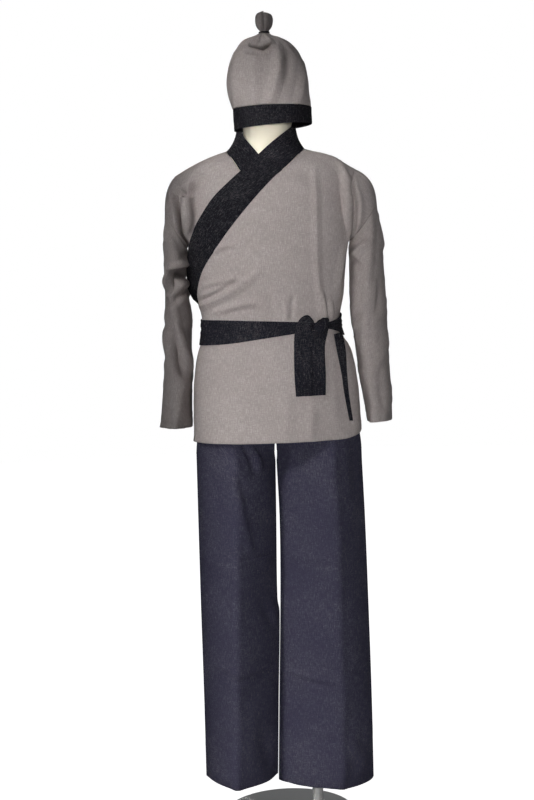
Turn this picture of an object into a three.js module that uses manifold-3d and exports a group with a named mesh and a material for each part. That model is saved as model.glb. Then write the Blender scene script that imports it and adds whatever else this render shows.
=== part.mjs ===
// A hanfu work costume on a limbless dress form: a cross-collar jacket with a tied sash,
// straight trousers and a soft cap with a tied topknot. Millimetres, +Z up, the front faces -Y.
// "Left" and "right" are the wearer's: the wearer's left is on +X.
import * as THREE from "three";
import { mergeVertices } from "three/addons/utils/BufferGeometryUtils.js";
import Module from "manifold-3d";

const { clamp, lerp, smoothstep } = THREE.MathUtils;
const point = (x, y, z) => new THREE.Vector3(x, y, z);

// Cloth
const WALL = 2; // one layer of the grey or the navy cloth
const BAND_WALL = 2.6; // a folded band: collar and cap band
const SEAM = 0.4; // gap between pieces that are sewn together
const LAYER = 2; // air between the inner and the outer front
const OUTER_LIFT = WALL + LAYER; // how far the outer front lies off the body surface

// Heights of the garment above the floor
const HEM_Z = 899;
const HEM_RISE = 13; // at the left side seam
const ARMPIT_Z = 1345;
const CUFF_Z = 931;
const TROUSER_WAIST_Z = 1138;
const WAISTBAND = 38;
const CROTCH_Z = 845;
const RISE = 105; // height over which the legs grow together above the crotch

// The jacket's body surface: its inside, in level rings from the hem to the armpit
const BODY = [
  { z: 899, right: -181.5, left: 199, front: 128, back: 128 },
  { z: 985, right: -179, left: 194, front: 126, back: 130 },
  { z: 1035, right: -176, left: 188, front: 122, back: 128 },
  { z: 1095, right: -165, left: 177, front: 113, back: 115 },
  { z: 1125, right: -156, left: 163, front: 107, back: 105 },
  { z: 1150, right: -152.5, left: 156, front: 104, back: 100 },
  { z: 1182, right: -153, left: 156.5, front: 106, back: 101 },
  { z: 1210, right: -159, left: 163, front: 110, back: 105 },
  { z: 1255, right: -168, left: 169, front: 116, back: 112 },
  { z: 1300, right: -174, left: 174, front: 120, back: 117 },
  { z: 1345, right: -179, left: 179, front: 119, back: 117 },
];
const SQUARE = 0.75; // under 1 flattens the front and back of each ring

// The shoulder line, from the middle of the neck to the shoulder point
const SHOULDER = [
  { share: 0, x: 0, z: 1563 },
  { share: 0.25, x: 50, z: 1560.5 },
  { share: 0.42, x: 84, z: 1554.5 },
  { share: 0.62, x: 130, z: 1540 },
  { share: 0.82, x: 172, z: 1521 },
  { share: 1, x: 206, z: 1502 },
];
const CHEST_ROLL = 2.2; // how squarely the chest turns over into the shoulder
const ARMHOLE_DEPTH = 56; // half the armhole, front to back
const NECK_SHARE = 0.42;

// Each sleeve: its inside, as rings between an outer and an inner edge seen from the front
const SLEEVE_LEFT = [
  { outerX: 248, outerZ: 1421, innerX: 187, innerZ: 1342, depth: 60 },
  { outerX: 257, outerZ: 1352, innerX: 185, innerZ: 1306, depth: 63 },
  { outerX: 260, outerZ: 1285, innerX: 184.5, innerZ: 1262, depth: 64 },
  { outerX: 263.5, outerZ: 1206, innerX: 184.5, innerZ: 1200, depth: 62 },
  { outerX: 265.5, outerZ: 1092, innerX: 194.5, innerZ: 1092, depth: 59 },
  { outerX: 269.5, outerZ: 1000, innerX: 206, innerZ: 1000, depth: 57 },
  { outerX: 270, outerZ: CUFF_Z + 1, innerX: 217, innerZ: CUFF_Z - 1, depth: 54 },
];
const SLEEVE_RIGHT = [
  { outerX: -232, outerZ: 1421, innerX: -188, innerZ: 1342, depth: 60 },
  { outerX: -238, outerZ: 1345, innerX: -189, innerZ: 1316, depth: 62 },
  { outerX: -239.5, outerZ: 1290, innerX: -194, innerZ: 1283, depth: 60 },
  { outerX: -239, outerZ: 1246, innerX: -192, innerZ: 1240, depth: 58 },
  { outerX: -241, outerZ: 1190, innerX: -184, innerZ: 1190, depth: 60 },
  { outerX: -244, outerZ: 1108, innerX: -187, innerZ: 1108, depth: 59 },
  { outerX: -253, outerZ: 1016, innerX: -189.5, innerZ: 1016, depth: 57 },
  { outerX: -262, outerZ: CUFF_Z + 1, innerX: -193, innerZ: CUFF_Z - 1, depth: 54 },
];

// The left collar, from its lower end at the right side, over the chest to the left of the neck.
// Its seam edge is sewn to the outer front, its free edge lies over the right front.
// "around" runs from -1, the right side, over 0, the middle of the front, to 1, the left side.
const COLLAR_OVER = [
  { seam: -0.985, seamZ: 1209, free: -1.05, freeZ: 1225, freeLift: 15 },
  { seam: -0.93, seamZ: 1222, free: -1.01, freeZ: 1244, freeLift: 19 },
  { seam: -0.84, seamZ: 1238, free: -0.98, freeZ: 1263, freeLift: 19 },
  { seam: -0.73, seamZ: 1265, free: -0.95, freeZ: 1292, freeLift: 15 },
  { seam: -0.61, seamZ: 1296, free: -0.89, freeZ: 1323, freeLift: 9.5 },
  { seam: -0.46, seamZ: 1331, free: -0.78, freeZ: 1362, freeLift: 6.5 },
  { seam: -0.31, seamZ: 1378, free: -0.62, freeZ: 1406, freeLift: 5.6 },
  { seam: -0.125, seamZ: 1435, free: -0.43, freeZ: 1456, freeLift: 6 },
  { seam: 0.05, seamZ: 1484, free: -0.215, freeZ: 1503, freeLift: 6.2 },
];
// The right collar under it, from its hidden end on the left chest
const COLLAR_UNDER = [
  { seam: 0.31, seamZ: 1370, free: 0.6, freeZ: 1398 },
  { seam: 0.12, seamZ: 1425, free: 0.42, freeZ: 1450 },
  { seam: -0.08, seamZ: 1470, free: 0.2, freeZ: 1500 },
];
const OVER_LIFT = 4; // the left collar's seam edge over the body surface
const UNDER_LIFT = 0.3; // the right collar over the body surface
// The stations of both collars, which are also columns of the fronts: shares from the middle to a side
const CHEST_STATIONS = [-0.985, -0.95, -0.9, -0.85, -0.78, -0.7, -0.61, -0.52, -0.42, -0.35, -0.27, -0.19, -0.1, 0];
const UNDER_STATIONS = [0.31, 0.27, 0.19, 0.1, 0];
const NECK_STATIONS = [0.1, 0.19, 0.27, 0.35, 0.42];
const NECK_BACK_CELLS = 5;

// Both collars on, up to the top of the shoulder beside the neck. The free edge stands off the
// chest here, so its place is the one seen from the front.
const NECK_OVER = [
  { seam: 0.05, seamZ: 1484, freeX: -55, freeZ: 1503 },
  { seam: 0.17, seamZ: 1508, freeX: -3, freeZ: 1550 },
  { seam: 0.33, seamZ: 1542, freeX: 34, freeZ: 1584 },
  { seam: 0.42, seamZ: 1554.5, freeX: 58, freeZ: 1603 },
];
const NECK_UNDER = [
  { seam: -0.08, seamZ: 1470, freeX: 48, freeZ: 1500 },
  { seam: -0.215, seamZ: 1502, freeX: 5, freeZ: 1520 },
  { seam: -0.31, seamZ: 1532, freeX: -37, freeZ: 1570 },
  { seam: -0.42, seamZ: 1554.5, freeX: -53, freeZ: 1597 },
];
// The top edge of the collars round the neck, and the dip of the neckline at the back
const NECK_TOP = { x: 3, y: 4, wide: 66, deep: 56, backZ: 1600 };
const NECK_DIP = 23.5;

// The sash round the waist. "around" goes on from 1 at the left side, over the back, to 3
const SASH = [
  { around: -1, low: 1115, high: 1177, lift: 7.5 },
  { around: -0.45, low: 1120, high: 1176, lift: 7.5 },
  { around: -0.1, low: 1130, high: 1172, lift: 7.5 },
  { around: 0.25, low: 1141, high: 1167, lift: 7.5 },
  { around: 0.4, low: 1146, high: 1164, lift: 7.5 },
  { around: 0.55, low: 1147, high: 1163, lift: 7.5 },
  { around: 0.7, low: 1140, high: 1168, lift: 7.1 },
  { around: 0.85, low: 1132, high: 1176, lift: 4.9 },
  { around: 1, low: 1127, high: 1181, lift: 4.1 },
  { around: 1.4, low: 1124, high: 1179, lift: 4.1 },
  { around: 2, low: 1119, high: 1176, lift: 4.1 },
  { around: 2.6, low: 1116, high: 1176, lift: 4.3 },
  { around: 2.82, low: 1115, high: 1177, lift: 7.1 },
  { around: 3, low: 1115, high: 1177, lift: 7.5 },
];
const KNOT = { x: 101, z: 1154, off: 25, wide: 17, tall: 17, deep: 13 };
// Each free end of the sash as a strip: its middle line seen from the front, and its width there
const TAIL_FRONT = [
  { x: 88.7, z: 1161, turn: -84, width: 14 },
  { x: 80, z: 1172, turn: -66, width: 21 },
  { x: 70, z: 1164, turn: -36, width: 27 },
  { x: 65, z: 1142, turn: -8, width: 33 },
  { x: 64, z: 1100, turn: 0, width: 36 },
  { x: 64, z: 1050, turn: 0, width: 37 },
  { x: 65, z: 1002, turn: 0, width: 35 },
];
const TAIL_MIDDLE = [
  { x: 99, z: 1136.6, turn: 0, width: 16 },
  { x: 99, z: 1105, turn: 0, width: 24 },
  { x: 99, z: 1050, turn: 0, width: 27 },
  { x: 99, z: 1002, turn: 0, width: 25 },
];
const TAIL_SIDE = [
  { x: 141, z: 1137, turn: 10, width: 20 },
  { x: 148, z: 1092, turn: 6, width: 17 },
  { x: 152, z: 1047, turn: 2, width: 12 },
  { x: 156, z: 1000, turn: -4, width: 10 },
  { x: 164, z: 940, turn: -8, width: 8 },
];
const TAIL_LIFT = 3.3; // a tail's inner face over the jacket's outer one

// Trousers: each leg's inside from the side edge to the inseam, with the pressed crease between
const LEG_LEFT = [
  { z: 86, outer: 203, inner: -17.5, crease: 127, front: 88, back: 88 },
  { z: 290, outer: 204, inner: -9, crease: 132, front: 89, back: 89 },
  { z: 520, outer: 202.5, inner: 1, crease: 131, front: 92, back: 92 },
  { z: 700, outer: 200.5, inner: 5.5, crease: 131, front: 98, back: 100 },
  { z: 845, outer: 197, inner: 3, crease: 128, front: 106, back: 110 },
];
const LEG_RIGHT = [
  { z: 101, outer: -188, inner: -22.2, crease: -114, front: 112, back: 112 },
  { z: 290, outer: -186, inner: -14.3, crease: -109, front: 110, back: 110 },
  { z: 488, outer: -185.2, inner: -5.7, crease: -102.5, front: 108.2, back: 108.2 },
  { z: 520, outer: -185, inner: -9.5, crease: -101, front: 108, back: 108 },
  { z: 700, outer: -183.5, inner: -6, crease: -94, front: 106, back: 108 },
  { z: 845, outer: -182, inner: -3, crease: -90, front: 106, back: 110 },
];
// The hips of the trousers above the crotch, which hang inside the jacket
const HIPS = [
  { z: 845, right: -183, left: 197, front: 108, back: 112 },
  { z: 900, right: -175, left: 191, front: 114, back: 117 },
  { z: 985, right: -172, left: 187, front: 116, back: 119 },
  { z: 1060, right: -165, left: 176, front: 111, back: 113 },
  { z: 1100, right: -156, left: 167, front: 105, back: 105 },
  { z: 1125, right: -150.5, left: 157, front: 101, back: 99 },
  { z: 1145, right: -147.5, left: 151, front: 98.5, back: 94.5 },
];
const CREASE_SHARP = 1.25; // nearer 1 is a sharper pressed crease
const CREASE_ROUND = 0.72; // how round the leg's side edges are

// The cap: its inside, in level rings
const CAP = [
  { z: 1649, right: -67.5, left: 105, front: 93, back: 95 },
  { z: 1662, right: -71.5, left: 104.5, front: 94, back: 96 },
  { z: 1682, right: -76, left: 101.5, front: 94, back: 97 },
  { z: 1709, right: -79.5, left: 100, front: 91, back: 95 },
  { z: 1735, right: -76, left: 95, front: 84, back: 90 },
  { z: 1750, right: -71, left: 91, front: 78, back: 84 },
  { z: 1764, right: -64, left: 83.5, front: 70, back: 76 },
  { z: 1778, right: -55, left: 73, front: 61, back: 66 },
  { z: 1790, right: -47, left: 61.5, front: 52, back: 55 },
  { z: 1801, right: -34, left: 45, front: 39, back: 41 },
  { z: 1809, right: -14, left: 24, front: 18, back: 19 },
  { z: 1816, right: -1.8, left: 13.8, front: 8, back: 8 },
];
const CAP_BAND = { z: 1605.5, tilt: 0.057, middleX: 18 };
const TOPKNOT = [
  { z: 1816.4, radius: 7.5 },
  { z: 1822, radius: 10 },
  { z: 1831, radius: 15.5 },
  { z: 1842, radius: 18 },
  { z: 1852, radius: 17.6 },
  { z: 1859, radius: 14 },
  { z: 1862, radius: 8 },
];
const TOPKNOT_X = 7;
const CAP_TIE = { x: 6.4, z: 1818.3, radius: 11.7, cord: 1.6 };

// The dress form
const FORM_LOW_Z = 984;
const FORM_INSET = 2.4; // the shoulders of the form under the jacket
const FORM_NECK = [
  { z: 1500, x: 3, wide: 60, deep: 50 },
  { z: 1552, x: 3, wide: 57, deep: 52 },
  { z: 1580, x: 4, wide: 54, deep: 51 },
  { z: 1612, x: 6, wide: 56, deep: 54 },
  { z: 1650, x: 9, wide: 67, deep: 70 },
  { z: 1700, x: 10, wide: 77, deep: 79 },
  { z: 1740, x: 10, wide: 74, deep: 72 },
  { z: 1768, x: 10, wide: 62, deep: 53 },
  { z: 1788, x: 8, wide: 47, deep: 41 },
  { z: 1800, x: 6, wide: 33, deep: 31 },
  { z: 1806, x: 5.5, wide: 23.4, deep: 21 },
  { z: 1808.6, x: 5, wide: 10, deep: 9 },
];
const POLE = { x: 72, radius: 12.5 };
const BASE = { radius: 150, thick: 10, x: 4 };

// The largest folds, seen from the front or the back: ridges have a height, troughs a negative one
const SLEEVE_RIGHT_FOLDS = [
  { x0: -187, z0: 1313, x1: -218, z1: 1294, wide: 12, height: 7 },
  { x0: -218, z0: 1294, x1: -237, z1: 1252, wide: 11, height: 6 },
  { x0: -192, z0: 1288, x1: -214, z1: 1278, wide: 13, height: -13 },
  { x0: -214, z0: 1278, x1: -222, z1: 1250, wide: 10, height: -9 },
  { x0: -196, z0: 1250, x1: -216, z1: 1236, wide: 10, height: 6 },
  { x0: -236, z0: 1215, x1: -222, z1: 1140, wide: 9, height: -9 },
  { x0: -222, z0: 1140, x1: -204, z1: 1052, wide: 9, height: -9 },
  { x0: -226, z0: 1210, x1: -208, z1: 1130, wide: 9, height: 4 },
];
const SLEEVE_LEFT_FOLDS = [
  { x0: 229, z0: 1390, x1: 222, z1: 1270, wide: 8, height: 4 },
  { x0: 222, z0: 1270, x1: 206, z1: 1090, wide: 8, height: 5 },
  { x0: 190, z0: 1330, x1: 214, z1: 1352, wide: 10, height: -6 },
  { x0: 186, z0: 1160, x1: 205, z1: 1175, wide: 9, height: -4 },
];
const CAP_FOLDS = [
  { x0: -26, z0: 1779, x1: 2, z1: 1772, wide: 7, height: -9 },
  { x0: 2, z0: 1772, x1: 20, z1: 1781, wide: 7, height: -7 },
  { x0: -12, z0: 1790, x1: 12, z1: 1790, wide: 9, height: 4 },
  { x0: 30, z0: 1785, x1: 33, z1: 1745, wide: 6, height: 4 },
  { x0: 33, z0: 1745, x1: 15, z1: 1650, wide: 6, height: 3 },
  { x0: -57, z0: 1765, x1: -60, z1: 1655, wide: 7, height: 3 },
  { x0: 90, z0: 1742, x1: 75, z1: 1650, wide: 8, height: 3 },
];
const CAP_GATHERS = 9;
const CAP_GATHER_DEPTH = 3.2;
const PRESS_CREASE = [
  { x0: 107, z0: 1480, x1: 104, z1: 1350, wide: 5, height: 1.5 },
  { x0: 104, z0: 1350, x1: 96, z1: 1195, wide: 5, height: 1.5 },
  { x0: 88, z0: 1090, x1: 77, z1: 900, wide: 6, height: 2 },
];
const SLEEVE_SHIFT_Y = 2; // the sleeves hang a little behind the side seams

// Where the part stands: the middle of its base is the origin
const ORIGIN = { x: -4, y: 0 };

const GREY = new THREE.MeshStandardMaterial({ color: 0x8c8380, roughness: 0.9, metalness: 0 });
const NAVY = new THREE.MeshStandardMaterial({ color: 0x35343f, roughness: 0.9, metalness: 0 });
const BLACK = new THREE.MeshStandardMaterial({ color: 0x1f1f26, roughness: 0.85, metalness: 0 });
const CREAM = new THREE.MeshStandardMaterial({ color: 0xe6dcc4, roughness: 0.7, metalness: 0 });
const STEEL = new THREE.MeshStandardMaterial({ color: 0xeeeeec, roughness: 0.45, metalness: 0 });

// Evenly spaced numbers from one to another, both ends included
const steps = (from, to, count) =>
  Array.from({ length: count + 1 }, (_, i) => lerp(from, to, i / count));

// The value of a column at a key, on a smooth curve through the table's rows
function read(table, key, name, at) {
  const last = table.length - 1;
  const rising = table[last][key] > table[0][key];
  let i = table.findIndex((row) => (rising ? row[key] >= at : row[key] <= at));
  i = clamp(i < 0 ? last : i, 1, last);
  const slope = (k) => {
    const [a, b] = [table[Math.max(k - 1, 0)], table[Math.min(k + 1, last)]];
    return (b[name] - a[name]) / (b[key] - a[key]);
  };
  const [a, b] = [table[i - 1], table[i]];
  const run = b[key] - a[key];
  const t = clamp((at - a[key]) / run, 0, 1);
  const [t2, t3] = [t * t, t * t * t];
  return (
    a[name] * (2 * t3 - 3 * t2 + 1) +
    b[name] * (3 * t2 - 2 * t3) +
    run * (slope(i - 1) * (t3 - 2 * t2 + t) + slope(i) * (t3 - t2))
  );
}

// The same, for a table whose rows are evenly spaced: share 0 is its first row and 1 its last
function readShare(table, name, share) {
  const rows = table.map((row, i) => ({ at: i / (table.length - 1), value: row[name] }));
  return read(rows, "at", "value", share);
}

// How far a fold table moves a point out, by its place seen from the front
function foldHeight(folds, x, z) {
  let height = 0;
  for (const fold of folds) {
    const [dx, dz] = [fold.x1 - fold.x0, fold.z1 - fold.z0];
    const along = clamp(((x - fold.x0) * dx + (z - fold.z0) * dz) / (dx * dx + dz * dz), 0, 1);
    const away = Math.hypot(x - fold.x0 - along * dx, z - fold.z0 - along * dz);
    height += fold.height * Math.exp(-((away / fold.wide) ** 2));
  }
  return height;
}

// The jacket's body surface. "around": -1 right side, 0 middle front, 1 left side, 2 middle back, 3
// the right side again. puff 0 leaves out the room for the armholes, as on the dress form.
function body(around, z, inset = 0, puff = 1) {
  const onBack = around > 1 || around < -1;
  const a = onBack ? (around > 1 ? 2 - around : -2 - around) : around;
  const [face, share, side] = [onBack ? 1 : -1, Math.abs(a), a < 0 ? -1 : 1];
  const ringZ = Math.min(z, ARMPIT_Z);
  const wide = read(BODY, "z", side < 0 ? "right" : "left", ringZ) - side * inset;
  const deep = read(BODY, "z", onBack ? "back" : "front", ringZ) - inset;
  const x = wide * Math.sin((share * Math.PI) / 2);
  const y = face * deep * Math.max(Math.cos((share * Math.PI) / 2), 0) ** SQUARE;
  if (z <= ARMPIT_Z) return point(x, y, z);
  const ridgeX = side * (read(SHOULDER, "share", "x", share) - inset);
  const rise = clamp((z - ARMPIT_Z) / (ridgeZ(a) - inset - ARMPIT_Z), 0, 1);
  const fall = Math.cos(Math.asin(rise ** (CHEST_ROLL / 2))) ** (2 / CHEST_ROLL);
  const armhole = puff * ARMHOLE_DEPTH * smoothstep(share, 0.68, 1) * Math.sin(Math.PI * rise);
  return point(lerp(ridgeX, x, fall), y * fall + face * armhole, z);
}

const ridgeZ = (a) => read(SHOULDER, "share", "z", Math.abs(a));

// The top edge of the back: the neckline, then the shoulder line
function backNeckZ(a) {
  const share = Math.min(Math.abs(a) / NECK_SHARE, 1);
  return share < 1 ? ridgeZ(NECK_SHARE) - NECK_DIP * Math.sqrt(1 - share ** 2) : ridgeZ(a);
}

// The body's surface by its place seen from the front, at any height
function chestPoint(x, z) {
  let [low, high] = [-1, 1];
  for (let i = 0; i < 24; i++) {
    const middle = (low + high) / 2;
    if (body(middle, z).x < x) low = middle;
    else high = middle;
  }
  return body((low + high) / 2, z);
}

// The same surface below the armpit by its place seen from the front
function bodyFront(x, z) {
  const wide = read(BODY, "z", x < 0 ? "right" : "left", Math.min(z, ARMPIT_Z));
  return body((Math.sign(x) * Math.asin(clamp(x / wide, 0, 1))) / (Math.PI / 2), z);
}

// How far the outer front lies off the body surface: nothing covers the form under its left side
// and its shoulder, where it joins the back
const shoulderFade = (z) => 1 - smoothstep(z, 1510, 1552);
const outerLift = (around, z) =>
  (OUTER_LIFT + 1.5 * smoothstep(z, 1280, 1345)) * (1 - smoothstep(around, 0.66, 0.93)) * shoulderFade(z);

// The way out of the body surface
function bodyNormal(around, z) {
  const across = body(around + 0.012, z).sub(body(around - 0.012, z));
  const up = body(around, z + 2).sub(body(around, z - 2));
  return across.cross(up).normalize();
}

// Half a sleeve's ring. share runs from its first to its last row, turn from 0 at the inner edge
// to 1 at the outer edge, face -1 is the front half.
function sleevePoint(table, folds, share, turn, face) {
  const outer = point(readShare(table, "outerX", share), 0, readShare(table, "outerZ", share));
  const inner = point(readShare(table, "innerX", share), 0, readShare(table, "innerZ", share));
  const made = inner.lerp(outer, (1 - Math.cos(turn * Math.PI)) / 2);
  const depth = readShare(table, "depth", share);
  const fold = share > 0 ? foldHeight(folds, made.x, made.z) * smoothstep(share, 0, 0.08) : 0;
  const round = Math.sin(turn * Math.PI);
  made.y = face * (depth + fold * round) * round ** 0.9 + SLEEVE_SHIFT_Y * Math.min(share * 4, 1);
  return made;
}

// The body panel's reach over the upper arm, from the armhole (along 0) to the sleeve seam (along 1)
function armCover(side, table, face, along, turn) {
  const armhole = body(side, ARMPIT_Z + turn * (ridgeZ(1) - ARMPIT_Z));
  armhole.y *= -face;
  const seam = sleevePoint(table, [], 0, turn, face);
  const bulge = 4 * along * (1 - along);
  const ridge = smoothstep(turn, 0.55, 1);
  return armhole
    .lerp(seam, along)
    .add(point((side > 0 ? 11 : 7) * side * ridge * bulge, face * 4 * Math.sin(turn * Math.PI) * bulge, (side > 0 ? 10 : 7) * ridge * bulge));
}

// A material's mesh from points and triangles
function mesh(name, points, triangles, material) {
  const geometry = new THREE.BufferGeometry().setFromPoints(points);
  geometry.setIndex(triangles);
  geometry.computeVertexNormals();
  const made = new THREE.Mesh(geometry, material);
  made.name = name;
  return made;
}

// A wall of cloth on a grid of points: rows go up, and each runs so that across x up points out.
// from and to are how far its inner and outer faces lie off the points, as numbers or functions of
// (row, column). has says which cells are there, way gives a point's own way out, and flat names the
// part of the way out that is levelled at a seam.
function wall(name, grid, material, options = {}) {
  const { from = 0, to = WALL, has = () => true, closed = false } = options;
  const { way = () => null, flat = () => null } = options;
  const [rows, columns] = [grid.length, grid[0].length];
  const cellColumns = closed ? columns : columns - 1;
  const next = (i) => (i + 1) % columns;
  const there = (j, i) => {
    const column = closed ? (i + columns) % columns : i;
    return j >= 0 && j < rows - 1 && column >= 0 && column < cellColumns && has(j, column);
  };
  const normals = grid.map((row) => row.map(() => point(0, 0, 0)));
  const cells = [];
  for (let j = 0; j < rows - 1; j++)
    for (let i = 0; i < cellColumns; i++) {
      if (!there(j, i)) continue;
      cells.push([j, i]);
      const corners = [
        [j, i],
        [j, next(i)],
        [j + 1, next(i)],
        [j + 1, i],
      ];
      const [a, b, c, d] = corners.map(([r, k]) => grid[r][k]);
      const normal = c.clone().sub(a).cross(d.clone().sub(b)).normalize();
      for (const [r, k] of corners) normals[r][k].add(normal);
    }
  const off = (value, j, i) => (typeof value === "function" ? value(j, i) : value);
  const points = [];
  const index = grid.map((row, j) =>
    row.map((base, i) => {
      const normal = way(j, i) ?? normals[j][i];
      const axis = flat(j, i);
      if (axis) normal[axis] = 0;
      normal.normalize();
      points.push(base.clone().addScaledVector(normal, off(to, j, i)));
      points.push(base.clone().addScaledVector(normal, off(from, j, i)));
      return points.length - 2;
    }),
  );
  const triangles = [];
  const quad = (a, b, c, d) => triangles.push(a, b, c, a, c, d);
  const edge = (p, q) => quad(q, p, p + 1, q + 1);
  for (const [j, i] of cells) {
    const [a, b] = [index[j][i], index[j][next(i)]];
    const [c, d] = [index[j + 1][next(i)], index[j + 1][i]];
    quad(a, b, c, d);
    quad(a + 1, d + 1, c + 1, b + 1);
    if (!there(j - 1, i)) edge(a, b);
    if (!there(j, i + 1)) edge(b, c);
    if (!there(j + 1, i)) edge(c, d);
    if (!there(j, i - 1)) edge(d, a);
  }
  const used = [...new Set(triangles)].sort((a, b) => a - b);
  const place = new Map(used.map((old, k) => [old, k]));
  return mesh(name, used.map((k) => points[k]), triangles.map((k) => place.get(k)), material);
}

// A closed solid from rings of points that go round anticlockwise seen from above, and rise
function stack(name, rings, material) {
  const count = rings[0].length;
  const points = rings.flat();
  const triangles = [];
  for (let j = 0; j < rings.length - 1; j++)
    for (let i = 0; i < count; i++) {
      const [a, b] = [j * count + i, j * count + ((i + 1) % count)];
      triangles.push(a, b, b + count, a, b + count, a + count);
    }
  const middle = (ring) =>
    ring.reduce((sum, p) => sum.add(p), point(0, 0, 0)).divideScalar(ring.length);
  points.push(middle(rings[0]), middle(rings.at(-1)));
  const top = (rings.length - 1) * count;
  for (let i = 0; i < count; i++) {
    triangles.push(points.length - 2, (i + 1) % count, i);
    triangles.push(points.length - 1, top + i, top + ((i + 1) % count));
  }
  return mesh(name, points, triangles, material);
}

// Heights of a front or back column: the skirt and waist, the chest up to the armpit level, and on
// to its top. topZ is where the column ends: the shoulder line or a collar's seam.
const SKIRT_ROWS = [HEM_Z, 955, 1012, 1062, 1100, 1126, 1150, 1174, 1196];
const CHEST_ROWS = [0.25, 0.5, 0.75, 1];
const SHOULDER_ROWS = [0.11, 0.23, 0.36, 0.5, 0.64, 0.78, 0.9, 1];
const ARMPIT_ROW = SKIRT_ROWS.length + CHEST_ROWS.length - 1;
const SHOULDER_ROW = ARMPIT_ROW + SHOULDER_ROWS.length;
function columnHeights(topZ, around) {
  const waistZ = SKIRT_ROWS.at(-1);
  const rise = HEM_RISE * smoothstep(around, 0.5, 1);
  const chestZ = lerp(lerp(waistZ, topZ, 0.55), ARMPIT_Z, smoothstep(topZ, 1310, 1385));
  return [
    ...SKIRT_ROWS.map((z) => z + (rise * (waistZ - z)) / (waistZ - HEM_Z)),
    ...CHEST_ROWS.map((share) => lerp(waistZ, chestZ, share)),
    ...SHOULDER_ROWS.map((share) => lerp(chestZ, topZ, share)),
  ];
}

// How far below its seam line a panel ends: on a steep seam, or where the cloth turns over, more
function seamGap(top, around) {
  const slope = (top(around + 0.01) - top(around - 0.01)) / 3;
  return 0.6 * SEAM * Math.hypot(1, slope) + 1.5 * smoothstep(top(around), 1480, 1540);
}

// Where the seam of a collar ends each column of its front. Beyond the neck it is the shoulder.
function frontTop(chest, neck, direction, around) {
  const a = around * direction;
  const rows = [...chest, ...neck.slice(1)].map((row) => ({ at: row.seam * direction, z: row.seamZ }));
  return a >= NECK_SHARE ? ridgeZ(a) : read(rows, "at", "z", a);
}

const ARM_COLUMNS = 4;
const armShares = steps(0, 1, ARM_COLUMNS).slice(1);

// One body panel: its own columns, then the columns over the upper arm, which start at the armpit
function panel(name, columns, topZ, options) {
  const { face, arms, from, folds = [] } = options;
  const order = face < 0 ? 1 : -1;
  const cover = (side, table) =>
    armShares.map((along) => (j) => {
      const turn = clamp((j - ARMPIT_ROW) / (SHOULDER_ROW - ARMPIT_ROW), 0, 1);
      return armCover(side, table, face, along, SHOULDER_TURNS(turn));
    });
  const turn = (around) => (face < 0 ? around : 2 - around);
  const make = columns.map((around) => {
    const heights = columnHeights(topZ(around), around);
    return (j) => body(turn(around), heights[j]);
  });
  const ways = columns.map((around) => {
    const heights = columnHeights(topZ(around), around);
    const free = (z) => Math.abs(around) > 0.92 && z > ARMPIT_Z - 60;
    return (j) => (free(heights[j]) ? null : bodyNormal(turn(around), heights[j]));
  });
  const lift = columns.map((around) => (z) => from(around, z));
  if (arms.left) make.push(...cover(1, SLEEVE_LEFT));
  if (arms.left) lift.push(...armShares.map(() => () => 0));
  if (arms.left) ways.push(...armShares.map(() => () => null));
  if (arms.right) make.unshift(...cover(-1, SLEEVE_RIGHT).reverse());
  if (arms.right) lift.unshift(...armShares.map(() => () => 0));
  if (arms.right) ways.unshift(...armShares.map(() => () => null));
  const first = arms.right ? ARM_COLUMNS : 0;
  const last = make.length - 1 - (arms.left ? ARM_COLUMNS : 0);
  if (order < 0) [make, lift, ways].forEach((list) => list.reverse());
  const [low, high] = order > 0 ? [first, last] : [make.length - 1 - last, make.length - 1 - first];
  const grid = [];
  for (let j = 0; j <= SHOULDER_ROW; j++) grid.push(make.map((column) => column(j)));
  const sewn = { start: face > 0 || arms.right, end: face > 0 || arms.left };
  const out = (j, i) => lift[i](grid[j][i].z) + foldHeight(folds, grid[j][i].x, grid[j][i].z);
  return wall(name, grid, GREY, {
    from: (j, i) => out(j, i),
    to: (j, i) => out(j, i) + WALL,
    has: (j, i) => j >= ARMPIT_ROW || (i >= low && i < high),
    way: (j, i) => ways[i](j),
    flat: (j, i) => {
      const side = (i <= low && sewn.start) || (i >= high && sewn.end);
      const { x, z } = grid[j][i];
      const shoulder = j === SHOULDER_ROW && (Math.abs(x) > 210 || (Math.abs(x) > 83 && z > 1500));
      return (side && j <= ARMPIT_ROW) || shoulder ? "y" : null;
    },
  });
}

// Turns of the armhole rows, so that the arm's columns meet the armhole column row by row
const SHOULDER_TURNS = (share) => {
  const rows = [0, ...SHOULDER_ROWS];
  const at = share * SHOULDER_ROWS.length;
  const i = Math.min(Math.floor(at), SHOULDER_ROWS.length - 1);
  return lerp(rows[i], rows[i + 1], at - i);
};

const EDGE = 0.003; // half a seam, as a share of the way round

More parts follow.
